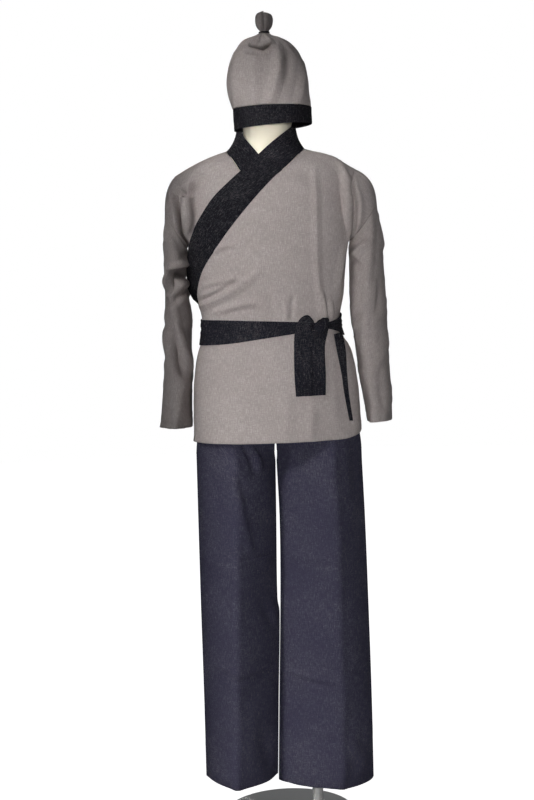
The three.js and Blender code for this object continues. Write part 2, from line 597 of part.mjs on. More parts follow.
function jacketPanels() {
  const side = 1 - EDGE;
  const top = (line) => (around) => {
    const neck = Math.abs(around) <= NECK_SHARE;
    return line(around) - (neck || line(around) < ridgeZ(around) ? seamGap(line, around) : SEAM);
  };
  const outer = [...CHEST_STATIONS, ...NECK_STATIONS, 0.5, 0.6, 0.7, 0.8, 0.9, side];
  const inner = [-side, -0.9, -0.8, -0.7, -0.6, -0.5, ...[...NECK_STATIONS].reverse().map((a) => -a)];
  const neck = steps(0, 90, NECK_BACK_CELLS).map((turn) => NECK_SHARE * Math.cos((turn * Math.PI) / 180));
  neck[NECK_BACK_CELLS] = 0;
  const half = [...neck.reverse(), 0.5, 0.6, 0.7, 0.8, 0.9, side];
  const back = [...half.slice(1).map((a) => -a).reverse(), ...half];
  return [
    panel("jacket_front_left", outer, top((a) => frontTop(COLLAR_OVER, NECK_OVER, 1, a)), {
      face: -1,
      arms: { left: true },
      from: outerLift,
      folds: PRESS_CREASE,
    }),
    panel(
      "jacket_front_right",
      [...inner, ...[...UNDER_STATIONS].reverse()],
      top((a) => frontTop(COLLAR_UNDER, NECK_UNDER, -1, a)),
      { face: -1, arms: { right: true }, from: () => 0 },
    ),
    panel("jacket_back", back, top(backNeckZ), {
      face: 1,
      arms: { left: true, right: true },
      from: () => 0,
    }),
  ];
}

const SLEEVE_RINGS = 12;
const ARMPIT_GAP = 2.4; // the walls meet at a right angle in the armpit
function sleeve(name, table, folds) {
  const left = table[0].outerX > 0;
  const made = (share, turn, face) => {
    const at = sleevePoint(table, folds, share, turn, face);
    if (share > 0) return at;
    const on = sleevePoint(table, folds, 0.02, turn, face);
    return at.addScaledVector(on.sub(at).normalize(), lerp(ARMPIT_GAP, 2 * SEAM, smoothstep(turn, 0.3, 0.9)));
  };
  const grid = steps(1, 0, SLEEVE_RINGS).map((share) => {
    const turns = [0, ...SHOULDER_ROWS];
    const front = turns.map((turn) => made(share, turn, -1));
    const back = turns.slice(1, -1).map((turn) => made(share, turn, 1)).reverse();
    const ring = [...front, ...back];
    return left ? ring : ring.reverse();
  });
  return wall(name, grid, GREY, { closed: true });
}

const COLLAR_CELLS = 4;

// The collars' free edge round the neck: the farther out of the chest and of the neck's own round
function neckEdge(x, z) {
  const made = chestPoint(x, z);
  const share = clamp((x - NECK_TOP.x) / NECK_TOP.wide, -1, 1);
  const round = NECK_TOP.y - NECK_TOP.deep * Math.sqrt(1 - share ** 2);
  return point(x, Math.min(made.y, round), z);
}

// A point of a standing band between its seam and its free edge: it turns up soon after the seam
function standing(seam, free, width) {
  const across = 1 - (1 - width) ** 1.5;
  return point(lerp(seam.x, free.x, across), lerp(seam.y, free.y, across), lerp(seam.z, free.z, width));
}

// One collar, in three stretches: over the chest, round the front of the neck and round its back.
// "side" is the side of the neck that it is on: 1 the wearer's left. lift is for (station, width).
function collar(name, chest, neck, side, stations, lift) {
  const across = steps(0, 1, COLLAR_CELLS);
  const seamLine = (a) => frontTop(chest, neck, side, a);
  const rows = [];
  const seamPoint = (a, line, height) => {
    const made = body(a, height);
    made.z += seamGap(line, a) * 0.6;
    return made;
  };
  for (const a of stations) {
    const place = (column) => read(chest, "seam", column, a);
    const seamZ = seamLine(a) + 0.6 * seamGap(seamLine, a);
    const spot = (width) => [lerp(a, place("free"), width), lerp(seamZ, place("freeZ"), width)];
    rows.push({
      off: (width) => lift(a, width),
      at: (width) => body(...spot(width)),
      way: (width) => bodyNormal(...spot(width)),
    });
  }
  for (const station of NECK_STATIONS) {
    const a = side * station;
    const place = (column) => read(neck, "seam", column, a);
    const share = (station - NECK_STATIONS[0]) / (NECK_SHARE - NECK_STATIONS[0]);
    const off = (width) => lift(0.05 * side, width) * (1 - smoothstep(share, 0.45, 1));
    const seam = seamPoint(a, seamLine, seamLine(a));
    const free = neckEdge(place("freeX"), place("freeZ"));
    const upright = smoothstep(share, 0.3, 1);
    const at = (width) => seam.clone().lerp(free, width).lerp(standing(seam, free, width), upright);
    rows.push({ off, at });
  }
  const { freeX, freeZ } = neck.at(-1);
  const start = Math.acos(clamp((side * (freeX - NECK_TOP.x)) / NECK_TOP.wide, -1, 1));
  for (const share of steps(0, 1, NECK_BACK_CELLS).slice(1)) {
    const a = share < 1 ? NECK_SHARE * Math.cos((share * Math.PI) / 2) : EDGE;
    const base = body(2 - side * a, backNeckZ(a));
    base.z += seamGap(backNeckZ, a);
    const turn = lerp(-start, Math.PI / 2, Math.min(share, 0.996));
    const top = point(
      NECK_TOP.x + side * NECK_TOP.wide * Math.cos(turn),
      NECK_TOP.y + NECK_TOP.deep * Math.sin(turn),
      lerp(freeZ, NECK_TOP.backZ, share),
    );
    rows.push({ off: () => 0, at: (width) => standing(base, top, width) });
  }
  const order = side > 0 ? [...across].reverse() : across;
  const grid = rows.map((row) => order.map((width) => row.at(width)));
  return wall(name, grid, BLACK, {
    from: (j, i) => rows[j].off(order[i]),
    to: (j, i) => rows[j].off(order[i]) + BAND_WALL,
    way: (j, i) => rows[j].way?.(order[i]) ?? null,
  });
}

function collars() {
  const overLift = (a, width) => lerp(OVER_LIFT + 1.2 * smoothstep(a, -0.6, -0.3), read(COLLAR_OVER, "seam", "freeLift", a), width ** 1.5);
  return [
    collar("jacket_collar_left", COLLAR_OVER, NECK_OVER, 1, CHEST_STATIONS, overLift),
    collar("jacket_collar_right", COLLAR_UNDER, NECK_UNDER, -1, UNDER_STATIONS, () => UNDER_LIFT),
  ];
}

const SASH_CELLS = 3;
const SASH_BUNCH = 3; // extra thickness where the sash is drawn into its knot
function sashBand() {
  const turns = [...steps(-1, 0.9, 19), ...steps(1, 2.9, 19)];
  const across = steps(0, 1, SASH_CELLS);
  const grid = across.map((share) =>
    turns.map((around) => {
      const height = lerp(read(SASH, "around", "low", around), read(SASH, "around", "high", around), share);
      return body(around, height);
    }),
  );
  const bunch = (around) => SASH_BUNCH * Math.exp(-(((around - 0.5) / 0.16) ** 2));
  const lift = (i) => read(SASH, "around", "lift", turns[i]);
  return wall("sash_band", grid, BLACK, {
    closed: true,
    from: (j, i) => lift(i),
    to: (j, i) => lift(i) + WALL + bunch(turns[i]),
  });
}

// The way out of the body at a point seen from the front
function outward(x, z) {
  const [left, right] = [bodyFront(x - 4, z), bodyFront(x + 4, z)];
  return point(right.x - left.x, right.y - left.y, 0).cross(point(0, 0, 1)).normalize();
}

const KNOT_RINGS = 8;
const KNOT_SIDES = 14;
function sashKnot() {
  const out = outward(KNOT.x, KNOT.z);
  const centre = bodyFront(KNOT.x, KNOT.z).addScaledVector(out, KNOT.off);
  const along = point(0, 0, 1).cross(out).normalize();
  const rings = steps(-78, 78, KNOT_RINGS).map((tilt) => {
    const [up, round] = [Math.sin((tilt * Math.PI) / 180), Math.cos((tilt * Math.PI) / 180)];
    return steps(0, 2 * Math.PI, KNOT_SIDES)
      .slice(0, -1)
      .map((angle) => {
        const wrap = 1 + 0.07 * Math.cos(3 * angle + 2 * up);
        return centre
          .clone()
          .addScaledVector(along, KNOT.wide * round * wrap * Math.cos(angle))
          .addScaledVector(out, -KNOT.deep * round * wrap * Math.sin(angle))
          .add(point(0, 0, KNOT.tall * up));
      });
  });

  return stack("sash_knot", rings, BLACK);
}

const TAIL_CELLS = 4;
const TAIL_PLEAT = 2.2; // height of the soft folds along a tail
function sashTail(name, table, rowsAlong, extra) {
  const across = steps(-0.5, 0.5, TAIL_CELLS);
  const grid = steps(1, 0, rowsAlong).map((share) => {
    const place = (column) => readShare(table, column, share);
    const turn = (place("turn") * Math.PI) / 180;
    return across.map((width) => {
      const x = place("x") + width * place("width") * Math.cos(turn);
      const z = place("z") + width * place("width") * Math.sin(turn);
      const around = Math.asin(clamp(x / read(BODY, "z", "left", z), 0, 1)) / (Math.PI / 2);
      const pleat = TAIL_PLEAT * (0.5 - 0.5 * Math.cos(width * 3 * Math.PI));
      return bodyFront(x, z).addScaledVector(
        outward(x, z),
        outerLift(around, z) + WALL + TAIL_LIFT + pleat + extra(share),
      );
    });
  });
  return wall(name, grid, BLACK, { to: WALL });
}

function sashTails() {
  const overBand = (share) => 6 * (1 - smoothstep(share, 0.45, 0.62));
  const fromKnot = (share) => 13 * (1 - smoothstep(share, 0, 0.35));
  return [
    sashTail("sash_tail_front", TAIL_FRONT, 14, overBand),
    sashTail("sash_tail_middle", TAIL_MIDDLE, 9, fromKnot),
    sashTail("sash_tail_side", TAIL_SIDE, 9, () => 0),
  ];
}

// Half a trouser leg's ring, from the inseam (share 0) to the side edge (1)
function legPoint(table, z, share, face) {
  const place = (column) => read(table, "z", column, z);
  const turn = Math.cos(share * Math.PI);
  const edge = turn > 0 ? place("inner") : place("outer");
  const away = Math.abs(turn);
  const x = lerp(place("crease"), edge, away);
  const depth = place(face < 0 ? "front" : "back");
  return point(x, face * depth * (1 - away ** CREASE_SHARP) ** CREASE_ROUND, z);
}

// A quarter of the hips' ring, from the middle (share 0) to the side (1)
function hipPoint(side, z, share, face) {
  const wide = read(HIPS, "z", side < 0 ? "right" : "left", z);
  const deep = read(HIPS, "z", face < 0 ? "front" : "back", z);
  const angle = (share * Math.PI) / 2;
  const middle = side * SEAM * (1 - share);
  return point(wide * Math.sin(angle) + middle, face * deep * Math.max(Math.cos(angle), 0) ** SQUARE, z);
}

const LEG_ROWS = 9;
const HIP_ROWS = 7;
const LEG_COLUMNS = 9;
function trouserPanel(name, table, side, face) {
  const waistZ = TROUSER_WAIST_Z - WAISTBAND;
  const hemZ = table[0].z;
  const heights = [
    ...steps(hemZ, CROTCH_Z, LEG_ROWS).slice(0, -1),
    ...steps(0, 1, HIP_ROWS).map((share) => lerp(CROTCH_Z, waistZ - SEAM, share ** 1.2)),
  ];
  const shares = steps(0.004, 0.996, LEG_COLUMNS);
  const grid = heights.map((z) =>
    shares.map((share) => {
      const leg = legPoint(table, Math.min(z, CROTCH_Z), share, face);
      const hip = hipPoint(side, Math.max(z, CROTCH_Z), share, face);
      leg.z = z;
      return leg.lerp(hip, smoothstep(z, CROTCH_Z, CROTCH_Z + RISE));
    }),
  );
  const rows = side * face < 0 ? grid : grid.map((row) => [...row].reverse());
  const inseamFirst = side * face < 0;
  return wall(name, rows, NAVY, {
    flat: (j, i) => {
      const inseam = inseamFirst ? i === 0 : i === LEG_COLUMNS;
      const sideSeam = inseamFirst ? i === LEG_COLUMNS : i === 0;
      if (sideSeam) return "y";
      if (!inseam) return null;
      return heights[j] <= CROTCH_Z ? "y" : "x";
    },
  });
}

function trousers() {
  const turns = steps(-1, 3, 28).slice(0, -1);
  const band = [TROUSER_WAIST_Z - WAISTBAND, TROUSER_WAIST_Z].map((z) =>
    turns.map((around) => {
      const onBack = around > 1;
      const a = onBack ? 2 - around : around;
      const made = hipPoint(a < 0 ? -1 : 1, z, Math.abs(a), onBack ? 1 : -1);
      return made;
    }),
  );
  return [
    trouserPanel("trousers_front_left", LEG_LEFT, 1, -1),
    trouserPanel("trousers_front_right", LEG_RIGHT, -1, -1),
    trouserPanel("trousers_back_left", LEG_LEFT, 1, 1),
    trouserPanel("trousers_back_right", LEG_RIGHT, -1, 1),
    wall("trousers_waistband", band, NAVY, { closed: true }),
  ];
}

// A level ring of the cap at a turn in radians, 0 on the wearer's left
function capPoint(turn, z) {
  const place = (column) => read(CAP, "z", column, z);
  const middle = (place("left") + place("right")) / 2;
  const wide = (place("left") - place("right")) / 2;
  const deep = place(Math.sin(turn) < 0 ? "front" : "back");
  return point(middle + wide * Math.cos(turn), deep * Math.sin(turn), z);
}

const CAP_SIDES = 28;
const capTurns = steps(0, 2 * Math.PI, CAP_SIDES).slice(0, -1);
const capBandLow = (x) => CAP_BAND.z + CAP_BAND.tilt * (x - CAP_BAND.middleX);
const CAP_SEAM_Z = CAP[0].z;

function cap() {
  const heights = CAP.map((row) => row.z);
  const crown = heights.map((z) =>
    capTurns.map((turn) => {
      const made = capPoint(turn, z);
      const gather = smoothstep(z, 1745, 1795) * (1 - smoothstep(z, 1802, 1815));
      const fold = made.y < 0 ? foldHeight(CAP_FOLDS, made.x, made.z) : 0;
      const off = fold * (1 - smoothstep(z, 1806, 1815)) + CAP_GATHER_DEPTH * gather * Math.cos(CAP_GATHERS * turn);
      return made.add(point(Math.cos(turn), Math.sin(turn), 0).multiplyScalar(off));
    }),
  );
  const band = [0, 1].map((share) =>
    capTurns.map((turn) => {
      const made = capPoint(turn, CAP_SEAM_Z);
      return made.setZ(lerp(capBandLow(made.x), CAP_SEAM_Z - SEAM, share));
    }),
  );
  const knot = TOPKNOT.map((row) =>
    steps(0, 2 * Math.PI, 16)
      .slice(0, -1)
      .map((turn) => {
        const fold = 1 + 0.08 * Math.cos(6 * turn) * smoothstep(row.radius, 8, 14);
        const corner = row.z > 1850 ? 3 * Math.max(Math.cos(turn - 2.8), 0) ** 4 : 0;
        const [x, y] = [Math.cos(turn) * row.radius * fold, Math.sin(turn) * row.radius * fold];
        return point(TOPKNOT_X + x, y, row.z + corner);
      }),
  );
  const tie = new THREE.Mesh(new THREE.TorusGeometry(CAP_TIE.radius, CAP_TIE.cord, 6, 16), BLACK);
  tie.name = "cap_tie";
  tie.position.set(CAP_TIE.x, 0, CAP_TIE.z);
  return [
    wall("cap_crown", crown, GREY, {
      closed: true,
      flat: (j) => (j === 0 || j === heights.length - 1 ? "z" : null),
    }),
    wall("cap_band", band, BLACK, { closed: true, to: BAND_WALL }),
    stack("cap_topknot", knot, GREY),
    tie,
  ];
}

// A mesh's geometry as a solid for joining
function solid(wasm, made) {
  const bare = made.geometry.clone();
  bare.deleteAttribute("normal");
  bare.deleteAttribute("uv");
  const merged = mergeVertices(bare, 1e-3);
  return new wasm.Manifold(
    new wasm.Mesh({
      numProp: 3,
      vertProperties: merged.attributes.position.array,
      triVerts: new Uint32Array(merged.index.array),
    }),
  );
}

const FORM_COLUMNS = 10;
const FORM_ROWS = [FORM_LOW_Z, 1012, 1045, 1090, 1125, 1138, 1160, 1196, 1233.25, 1270.5, 1307.75, 1345];
const FORM_HIP_INSET = 1.3;
// The form's torso: inside the trousers up to their waist, and inside the jacket above it
async function torso() {
  const turns = [...steps(-1, 1, 2 * FORM_COLUMNS), ...steps(1, 3, 2 * FORM_COLUMNS).slice(1, -1)];
  const ring = (height) =>
    turns.map((around) => {
      const a = around > 1 ? 2 - around : around;
      const z = height(a);
      const chest = body(around, z, lerp(6, FORM_INSET, smoothstep(z, 1160, 1345)), 0);
      const hip = hipPoint(a < 0 ? -1 : 1, Math.min(z, 1145), Math.abs(a), around > 1 ? 1 : -1);
      const drawn = 1 - FORM_HIP_INSET / 100;
      hip.set(hip.x * drawn, hip.y * drawn, z);
      return hip.lerp(chest, smoothstep(z, 1138, 1190));
    });
  const rings = [
    ...FORM_ROWS.map((z) => ring(() => z)),
    ...SHOULDER_ROWS.slice(0, -1).map((rise) => ring((a) => lerp(ARMPIT_Z, ridgeZ(a) - 1.5 * FORM_INSET, rise))),
  ];
  const neck = FORM_NECK.map((row) =>
    steps(0, 2 * Math.PI, 24)
      .slice(0, -1)
      .map((turn) => point(row.x + row.wide * Math.cos(turn), 4 + row.deep * Math.sin(turn), row.z)),
  );
  const wasm = await Module();
  wasm.setup();
  const joined = solid(wasm, stack("torso", rings, CREAM)).add(solid(wasm, stack("neck", neck, CREAM)));
  const made = joined.getMesh();
  const geometry = new THREE.BufferGeometry()
    .setAttribute("position", new THREE.BufferAttribute(new Float32Array(made.vertProperties), 3))
    .setIndex(new THREE.BufferAttribute(new Uint32Array(made.triVerts), 1));
  const form = new THREE.Mesh(geometry, CREAM);
  form.name = "form_torso";
  return form;
}

function stand() {
  const gap = 0.3;
  const poleLow = BASE.thick + gap;
  const poleHigh = FORM_LOW_Z - gap;
  const pole = new THREE.Mesh(
    new THREE.CylinderGeometry(POLE.radius, POLE.radius, poleHigh - poleLow, 20),
    STEEL,
  );
  pole.name = "form_pole";
  pole.rotation.x = Math.PI / 2;
  pole.position.set(POLE.x, 0, (poleLow + poleHigh) / 2);
  const base = new THREE.Mesh(new THREE.CylinderGeometry(BASE.radius, BASE.radius, BASE.thick, 40), STEEL);
  base.name = "form_base";
  base.rotation.x = Math.PI / 2;
  base.position.set(BASE.x, 0, BASE.thick / 2);
  return [pole, base];
}

const costume = new THREE.Group();
costume.add(
  await torso(),
  ...stand(),
  ...trousers(),
  ...jacketPanels(),
  sleeve("jacket_sleeve_left", SLEEVE_LEFT, SLEEVE_LEFT_FOLDS),
  sleeve("jacket_sleeve_right", SLEEVE_RIGHT, SLEEVE_RIGHT_FOLDS),
  ...collars(),
  sashBand(),
  sashKnot(),
  ...sashTails(),
  ...cap(),
);
costume.position.set(ORIGIN.x, ORIGIN.y, 0);

export default costume;
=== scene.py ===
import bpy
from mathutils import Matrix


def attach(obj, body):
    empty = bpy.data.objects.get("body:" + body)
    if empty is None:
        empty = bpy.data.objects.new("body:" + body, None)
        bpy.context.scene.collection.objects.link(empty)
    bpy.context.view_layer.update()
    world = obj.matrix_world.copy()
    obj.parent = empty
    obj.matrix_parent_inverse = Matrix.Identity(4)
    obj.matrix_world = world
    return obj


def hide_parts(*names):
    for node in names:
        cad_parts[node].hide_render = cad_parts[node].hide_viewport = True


bl_info = {
    "name": "Hanfu costume",
    "version": (1, 0, 0),
    "blender": (4, 5, 0),
    "location": "3D View > Sidebar > Hanfu",
    "description": "Makes a cross-collar jacket, sash, trousers and cap on a dress form",
    "category": "Add Mesh",
}

import math

import bmesh
import bpy
import numpy as np
from bpy.props import FloatProperty, FloatVectorProperty, PointerProperty
from bpy.types import Operator, Panel, PropertyGroup
from mathutils import Matrix, Vector

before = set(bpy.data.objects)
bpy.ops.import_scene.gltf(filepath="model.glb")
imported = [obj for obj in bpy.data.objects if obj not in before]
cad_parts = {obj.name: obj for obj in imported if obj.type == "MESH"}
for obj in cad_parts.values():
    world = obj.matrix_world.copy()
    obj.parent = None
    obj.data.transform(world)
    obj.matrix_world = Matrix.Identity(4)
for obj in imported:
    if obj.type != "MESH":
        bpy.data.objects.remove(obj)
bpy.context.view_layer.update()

# Sizes are in millimetres in the wearer's frame: left is on +X, and the front faces -Y.
MM = 0.001
ORIGIN = np.array([-4.0, 0.0, 0.0])
HEM_Z = 899.0
HEM_RISE = 13.0
ARMPIT_Z = 1345.0
WAIST_Z = 1196.0
CUFF_Z = 931.0
CROTCH_Z = 845.0
RISE = 105.0
TROUSER_TOP_Z = 1100.0
WALL = 2.0
SEAM = 0.4


def rows(columns, *values):
    """A short table with named columns, as one array for each column."""
    return {name: np.array([row[i] for row in values], float) for i, name in enumerate(columns.split())}


# The jacket's body surface, in level rings from the hem to the armpit
BODY = rows(
    "z right left front back",
    (899, -181.5, 199, 128, 128), (985, -179, 194, 126, 130), (1035, -176, 188, 122, 128),
    (1095, -165, 177, 113, 115), (1125, -156, 163, 107, 105), (1150, -152.5, 156, 104, 100),
    (1182, -153, 156.5, 106, 101), (1210, -159, 163, 110, 105), (1255, -168, 169, 116, 112),
    (1300, -174, 174, 120, 117), (1345, -179, 179, 119, 117),
)
SQUARE = 0.75
# The shoulder line, from the middle of the neck to the shoulder point
SHOULDER = rows(
    "share x z",
    (0, 0, 1563), (0.25, 50, 1560.5), (0.42, 84, 1554.5), (0.62, 130, 1540), (0.82, 172, 1521),
    (1, 206, 1502),
)
CHEST_ROLL = 2.2
ARMHOLE_DEPTH = 56.0
NECK_SHARE = 0.42

# Each sleeve between its outer and inner edges, from the sleeve seam to the cuff
SLEEVE_LEFT = rows(
    "outer_x outer_z inner_x inner_z depth",
    (248, 1421, 187, 1342, 60), (257, 1352, 185, 1306, 63), (260, 1285, 184.5, 1262, 64),
    (263.5, 1206, 184.5, 1200, 62), (265.5, 1092, 194.5, 1092, 59), (269.5, 1000, 206, 1000, 57),
    (270, CUFF_Z + 1, 217, CUFF_Z - 1, 54),
)
SLEEVE_RIGHT = rows(
    "outer_x outer_z inner_x inner_z depth",
    (-232, 1421, -188, 1342, 60), (-238, 1345, -189, 1316, 62), (-239.5, 1290, -194, 1283, 60),
    (-239, 1246, -192, 1240, 58), (-241, 1190, -184, 1190, 60), (-244, 1108, -187, 1108, 59),
    (-253, 1016, -189.5, 1016, 57), (-262, CUFF_Z + 1, -193, CUFF_Z - 1, 54),
)

# The left collar from its low end at the right side up over the chest
COLLAR_OVER = rows(
    "seam seam_z free free_z free_lift",
    (-0.985, 1209, -1.05, 1225, 15), (-0.93, 1222, -1.01, 1244, 19), (-0.84, 1238, -0.98, 1263, 19),
    (-0.73, 1265, -0.95, 1292, 15), (-0.61, 1296, -0.89, 1323, 9.5), (-0.46, 1331, -0.78, 1362, 6.5),
    (-0.31, 1378, -0.62, 1406, 5.6), (-0.125, 1435, -0.43, 1456, 6), (0.05, 1484, -0.215, 1503, 6.2),
)
COLLAR_UNDER = rows(
    "seam seam_z free free_z",
    (0.31, 1370, 0.6, 1398), (0.12, 1425, 0.42, 1450), (-0.08, 1470, 0.2, 1500),
)
# Both collars on up to the shoulder line beside the neck
NECK_OVER = rows(
    "seam seam_z free_x free_z",
    (0.05, 1484, -55, 1503), (0.17, 1508, -3, 1550), (0.33, 1542, 34, 1584), (0.42, 1554.5, 58, 1603),
)
NECK_UNDER = rows(
    "seam seam_z free_x free_z",
    (-0.08, 1470, 48, 1500), (-0.215, 1502, 5, 1520), (-0.31, 1532, -37, 1570),
    (-0.42, 1554.5, -53, 1597),
)
NECK_TOP = {"x": 3.0, "y": 4.0, "wide": 66.0, "deep": 56.0, "back_z": 1600.0}
NECK_DIP = 23.5
OVER_LIFT = 4.0

# The sash round the waist: "around" runs on from 1 at the left side, over the back, to 3
SASH = rows(
    "around low high lift",
    (-1, 1115, 1177, 7.5), (-0.45, 1120, 1176, 7.5), (-0.1, 1130, 1172, 7.5), (0.25, 1141, 1167, 7.5),
    (0.4, 1146, 1164, 7.5), (0.55, 1147, 1163, 7.5), (0.7, 1140, 1168, 7.1), (0.85, 1132, 1176, 4.9),
    (1, 1127, 1181, 4.1), (1.4, 1124, 1179, 4.1), (2, 1119, 1176, 4.1), (2.6, 1116, 1176, 4.3),
    (2.82, 1115, 1177, 7.1), (3, 1115, 1177, 7.5),
)
TAIL_FRONT = rows(
    "x z turn width",
    (88.7, 1161, -84, 14), (80, 1172, -66, 21), (70, 1164, -36, 28), (67, 1142, -8, 38),
    (65.5, 1100, 0, 39), (65, 1050, 0, 39), (65, 1002, 0, 36),
)
TAIL_MIDDLE = rows(
    "x z turn width",
    (98, 1147, 0, 30), (98, 1105, 0, 28), (98, 1050, 0, 29), (98, 1002, 0, 27),
)
TAIL_SIDE = rows(
    "x z turn width",
    (141, 1137, 10, 20), (148, 1092, 6, 17), (152, 1047, 2, 12), (156, 1000, -4, 10), (164, 940, -8, 8),
)
TAIL_LIFT = 3.3
KNOT = {"x": 101.0, "z": 1154.0, "off": 25.0, "wide": 17.0, "tall": 17.0, "deep": 13.0}

# Trousers: each leg from the side edge to the inseam, with the pressed crease between
LEG_LEFT = rows(
    "z outer inner crease front back",
    (86, 203, -17.5, 127, 88, 88), (290, 204, -9, 132, 89, 89), (520, 202.5, 1, 131, 92, 92),
    (700, 200.5, 5.5, 131, 98, 100), (845, 197, 3, 128, 106, 110),
)
LEG_RIGHT = rows(
    "z outer inner crease front back",
    (101, -188, -22.2, -114, 112, 112), (290, -186, -14.3, -109, 110, 110),
    (488, -185.2, -5.7, -102.5, 108.2, 108.2), (520, -185, -9.5, -101, 108, 108),
    (700, -183.5, -6, -94, 106, 108), (845, -182, -3, -90, 106, 110),
)
HIPS = rows(
    "z right left front back",
    (845, -183, 197, 108, 112), (900, -175, 191, 114, 117), (985, -172, 187, 116, 119),
    (1060, -165, 176, 111, 113), (1100, -156, 167, 105, 105), (1125, -150.5, 157, 101, 99),
    (1145, -147.5, 151, 98.5, 94.5),
)
CREASE_SHARP = 1.25
CREASE_ROUND = 0.72

# The cap in level rings
CAP = rows(
    "z right left front back",
    (1649, -67.5, 105, 93, 95), (1662, -71.5, 104.5, 94, 96), (1682, -76, 101.5, 94, 97),
    (1709, -79.5, 100, 91, 95), (1735, -76, 95, 84, 90), (1750, -71, 91, 78, 84),
    (1764, -64, 83.5, 70, 76), (1778, -55, 73, 61, 66), (1790, -47, 61.5, 52, 55),
    (1801, -34, 45, 39, 41), (1809, -14, 24, 18, 19), (1816, -1.8, 13.8, 8, 8),
)
TOPKNOT = rows(
    "z radius",
    (1816.4, 7.5), (1822, 10), (1831, 15.5), (1842, 18), (1852, 17.6), (1859, 14), (1862, 8),
)
FORM_NECK = rows(
    "z x wide deep",
    (1500, 3, 60, 50), (1552, 3, 57, 52), (1580, 4, 54, 51), (1612, 6, 56, 54), (1650, 9, 67, 70),
    (1700, 10, 77, 79), (1740, 10, 74, 72), (1768, 10, 62, 53), (1788, 8, 47, 41), (1800, 6, 33, 31),
    (1806, 5.5, 23.4, 21), (1808.6, 5, 10, 9),
)

# Folds and creases, as strokes seen from the front: bow bends a stroke sideways at its middle, and
# height is how far it stands out, or in where it is negative; a negative width gives a pointed one
CREASE = "x0 z0 x1 z1 bow wide height"
FRONT_LEFT_CREASES = rows(
    CREASE,
    (105, 1494, 103, 1281, 0, -13, 3.4), (103, 1281, 111, 1178, 0, -11, 3.0),
    (84, 990, 77, 896, 0, -15, 2.6), (149, 1546, 191, 1467, 9, 6, -6),
    (120, 1540, 182, 1470, 10, -16, 5), (170, 1512, 196, 1440, 7, -13, 5.5),
    (191, 1470, 194, 1400, 2, 6, -9), (194, 1400, 184, 1345, 2, 6, -13),
    (178, 1450, 180, 1352, 4, -12, 6.5), (207, 1440, 204, 1362, 2, -12, 5),
    (188, 1345, 166, 1256, -4, 7, -4.5), (174, 1338, 150, 1240, -4, -14, 3.6),
    (60, 1470, 130, 1436, 4, -24, 2.2), (-115, 1332, -73, 1342, 3, -7, 3.4),
    (-112, 1322, -80, 1331, 3, 4, -2.6), (-76, 1318, -55, 1340, 2, -7, 3),
    (-149, 1210, -21, 1285, -7, -13, 4.6), (-149, 1222, -62, 1275, -5, 6, -3),
    (-144, 1234, -85, 1265, -3, -9, 3.4), (-140, 1256, -44, 1266, 5, -10, 3.4),
    (-140, 1246, -60, 1255, 4, 5, -2.4), (-120, 1195, -35, 1214, 4, -11, 3.4),
    (-100, 1186, -40, 1198, 4, 5, -2.4), (-20, 1300, 60, 1250, 6, -22, 2),
    (33, 1179, 30, 1212, 0, -7, 3.4), (44, 1178, 48, 1222, 0, 5, -3),
    (120, 1176, 113, 1228, 0, -7, 3.8), (133, 1177, 131, 1206, 0, -7, 3.2),
    (126, 1176, 123, 1216, 0, 4, -3), (8, 1180, -8, 1240, 0, 7, -2.2), (31, 1138, 24, 1124, 0, 4, -3),
    (-20, 1120, -26, 1020, 4, 14, -1.8), (118, 1130, 122, 980, -5, 12, -3),
    (143, 1120, 156, 930, -6, 12, -2.4), (174, 1110, 184, 920, 4, -16, 3),
    (-130, 1110, -140, 930, 5, 14, -2.2), (30, 1010, 24, 899, 0, -22, 2.4),
    (-70, 1000, -80, 899, 0, -24, 2),
)
FRONT_RIGHT_CREASES = rows(
    CREASE,
    (-208, 1478, -150, 1492, -6, -13, 6), (-204, 1460, -152, 1472, -5, 6, -6),
    (-203, 1455, -190, 1372, 3, 6, -12), (-186, 1448, -176, 1350, 4, -12, 6.5),
    (-216, 1440, -206, 1372, 3, -12, 6), (-192, 1376, -178, 1342, 2, 6, -10),
    (-150, 1530, -190, 1486, -6, 9, -4), (-130, 1530, -176, 1500, -5, -16, 4),
    (-228, 1462, -216, 1400, 3, 6, -4), (-112, 1450, -150, 1392, 0, -18, 3),
)
BACK_CREASES = rows(
    CREASE,
    (-190, 1462, -188, 1350, -5, 9, -5), (191, 1462, 190, 1350, 5, 9, -5),
    (-172, 1450, -165, 1350, 0, 10, 2.6), (174, 1455, 168, 1345, 0, 10, 2.6),
    (-120, 1500, -60, 1470, 6, 14, 2), (120, 1505, 70, 1468, -6, 14, 1.8),
    (-150, 1230, -20, 1262, 6, 9, 2.4), (-150, 1210, -60, 1222, 5, 7, -2),
    (150, 1216, 40, 1252, -6, 9, 2.2), (140, 1198, 60, 1214, 4, 7, -2),
    (-40, 1180, -34, 1260, 2, 7, 1.8), (20, 1180, 26, 1240, 0, 6, -1.8), (76, 1180, 88, 1250, 3, 7, 2),
    (-96, 1180, -110, 1240, 3, 6, 1.6), (-110, 1105, -122, 905, 4, 15, 3),
    (-60, 1100, -58, 905, 4, 14, -2.4), (0, 1104, 6, 905, -5, 16, 2.6),
    (66, 1100, 60, 905, 4, 14, -2.4), (118, 1108, 134, 905, 4, 15, 3),
    (-100, 1400, 30, 1330, 10, 16, 1.6),
)
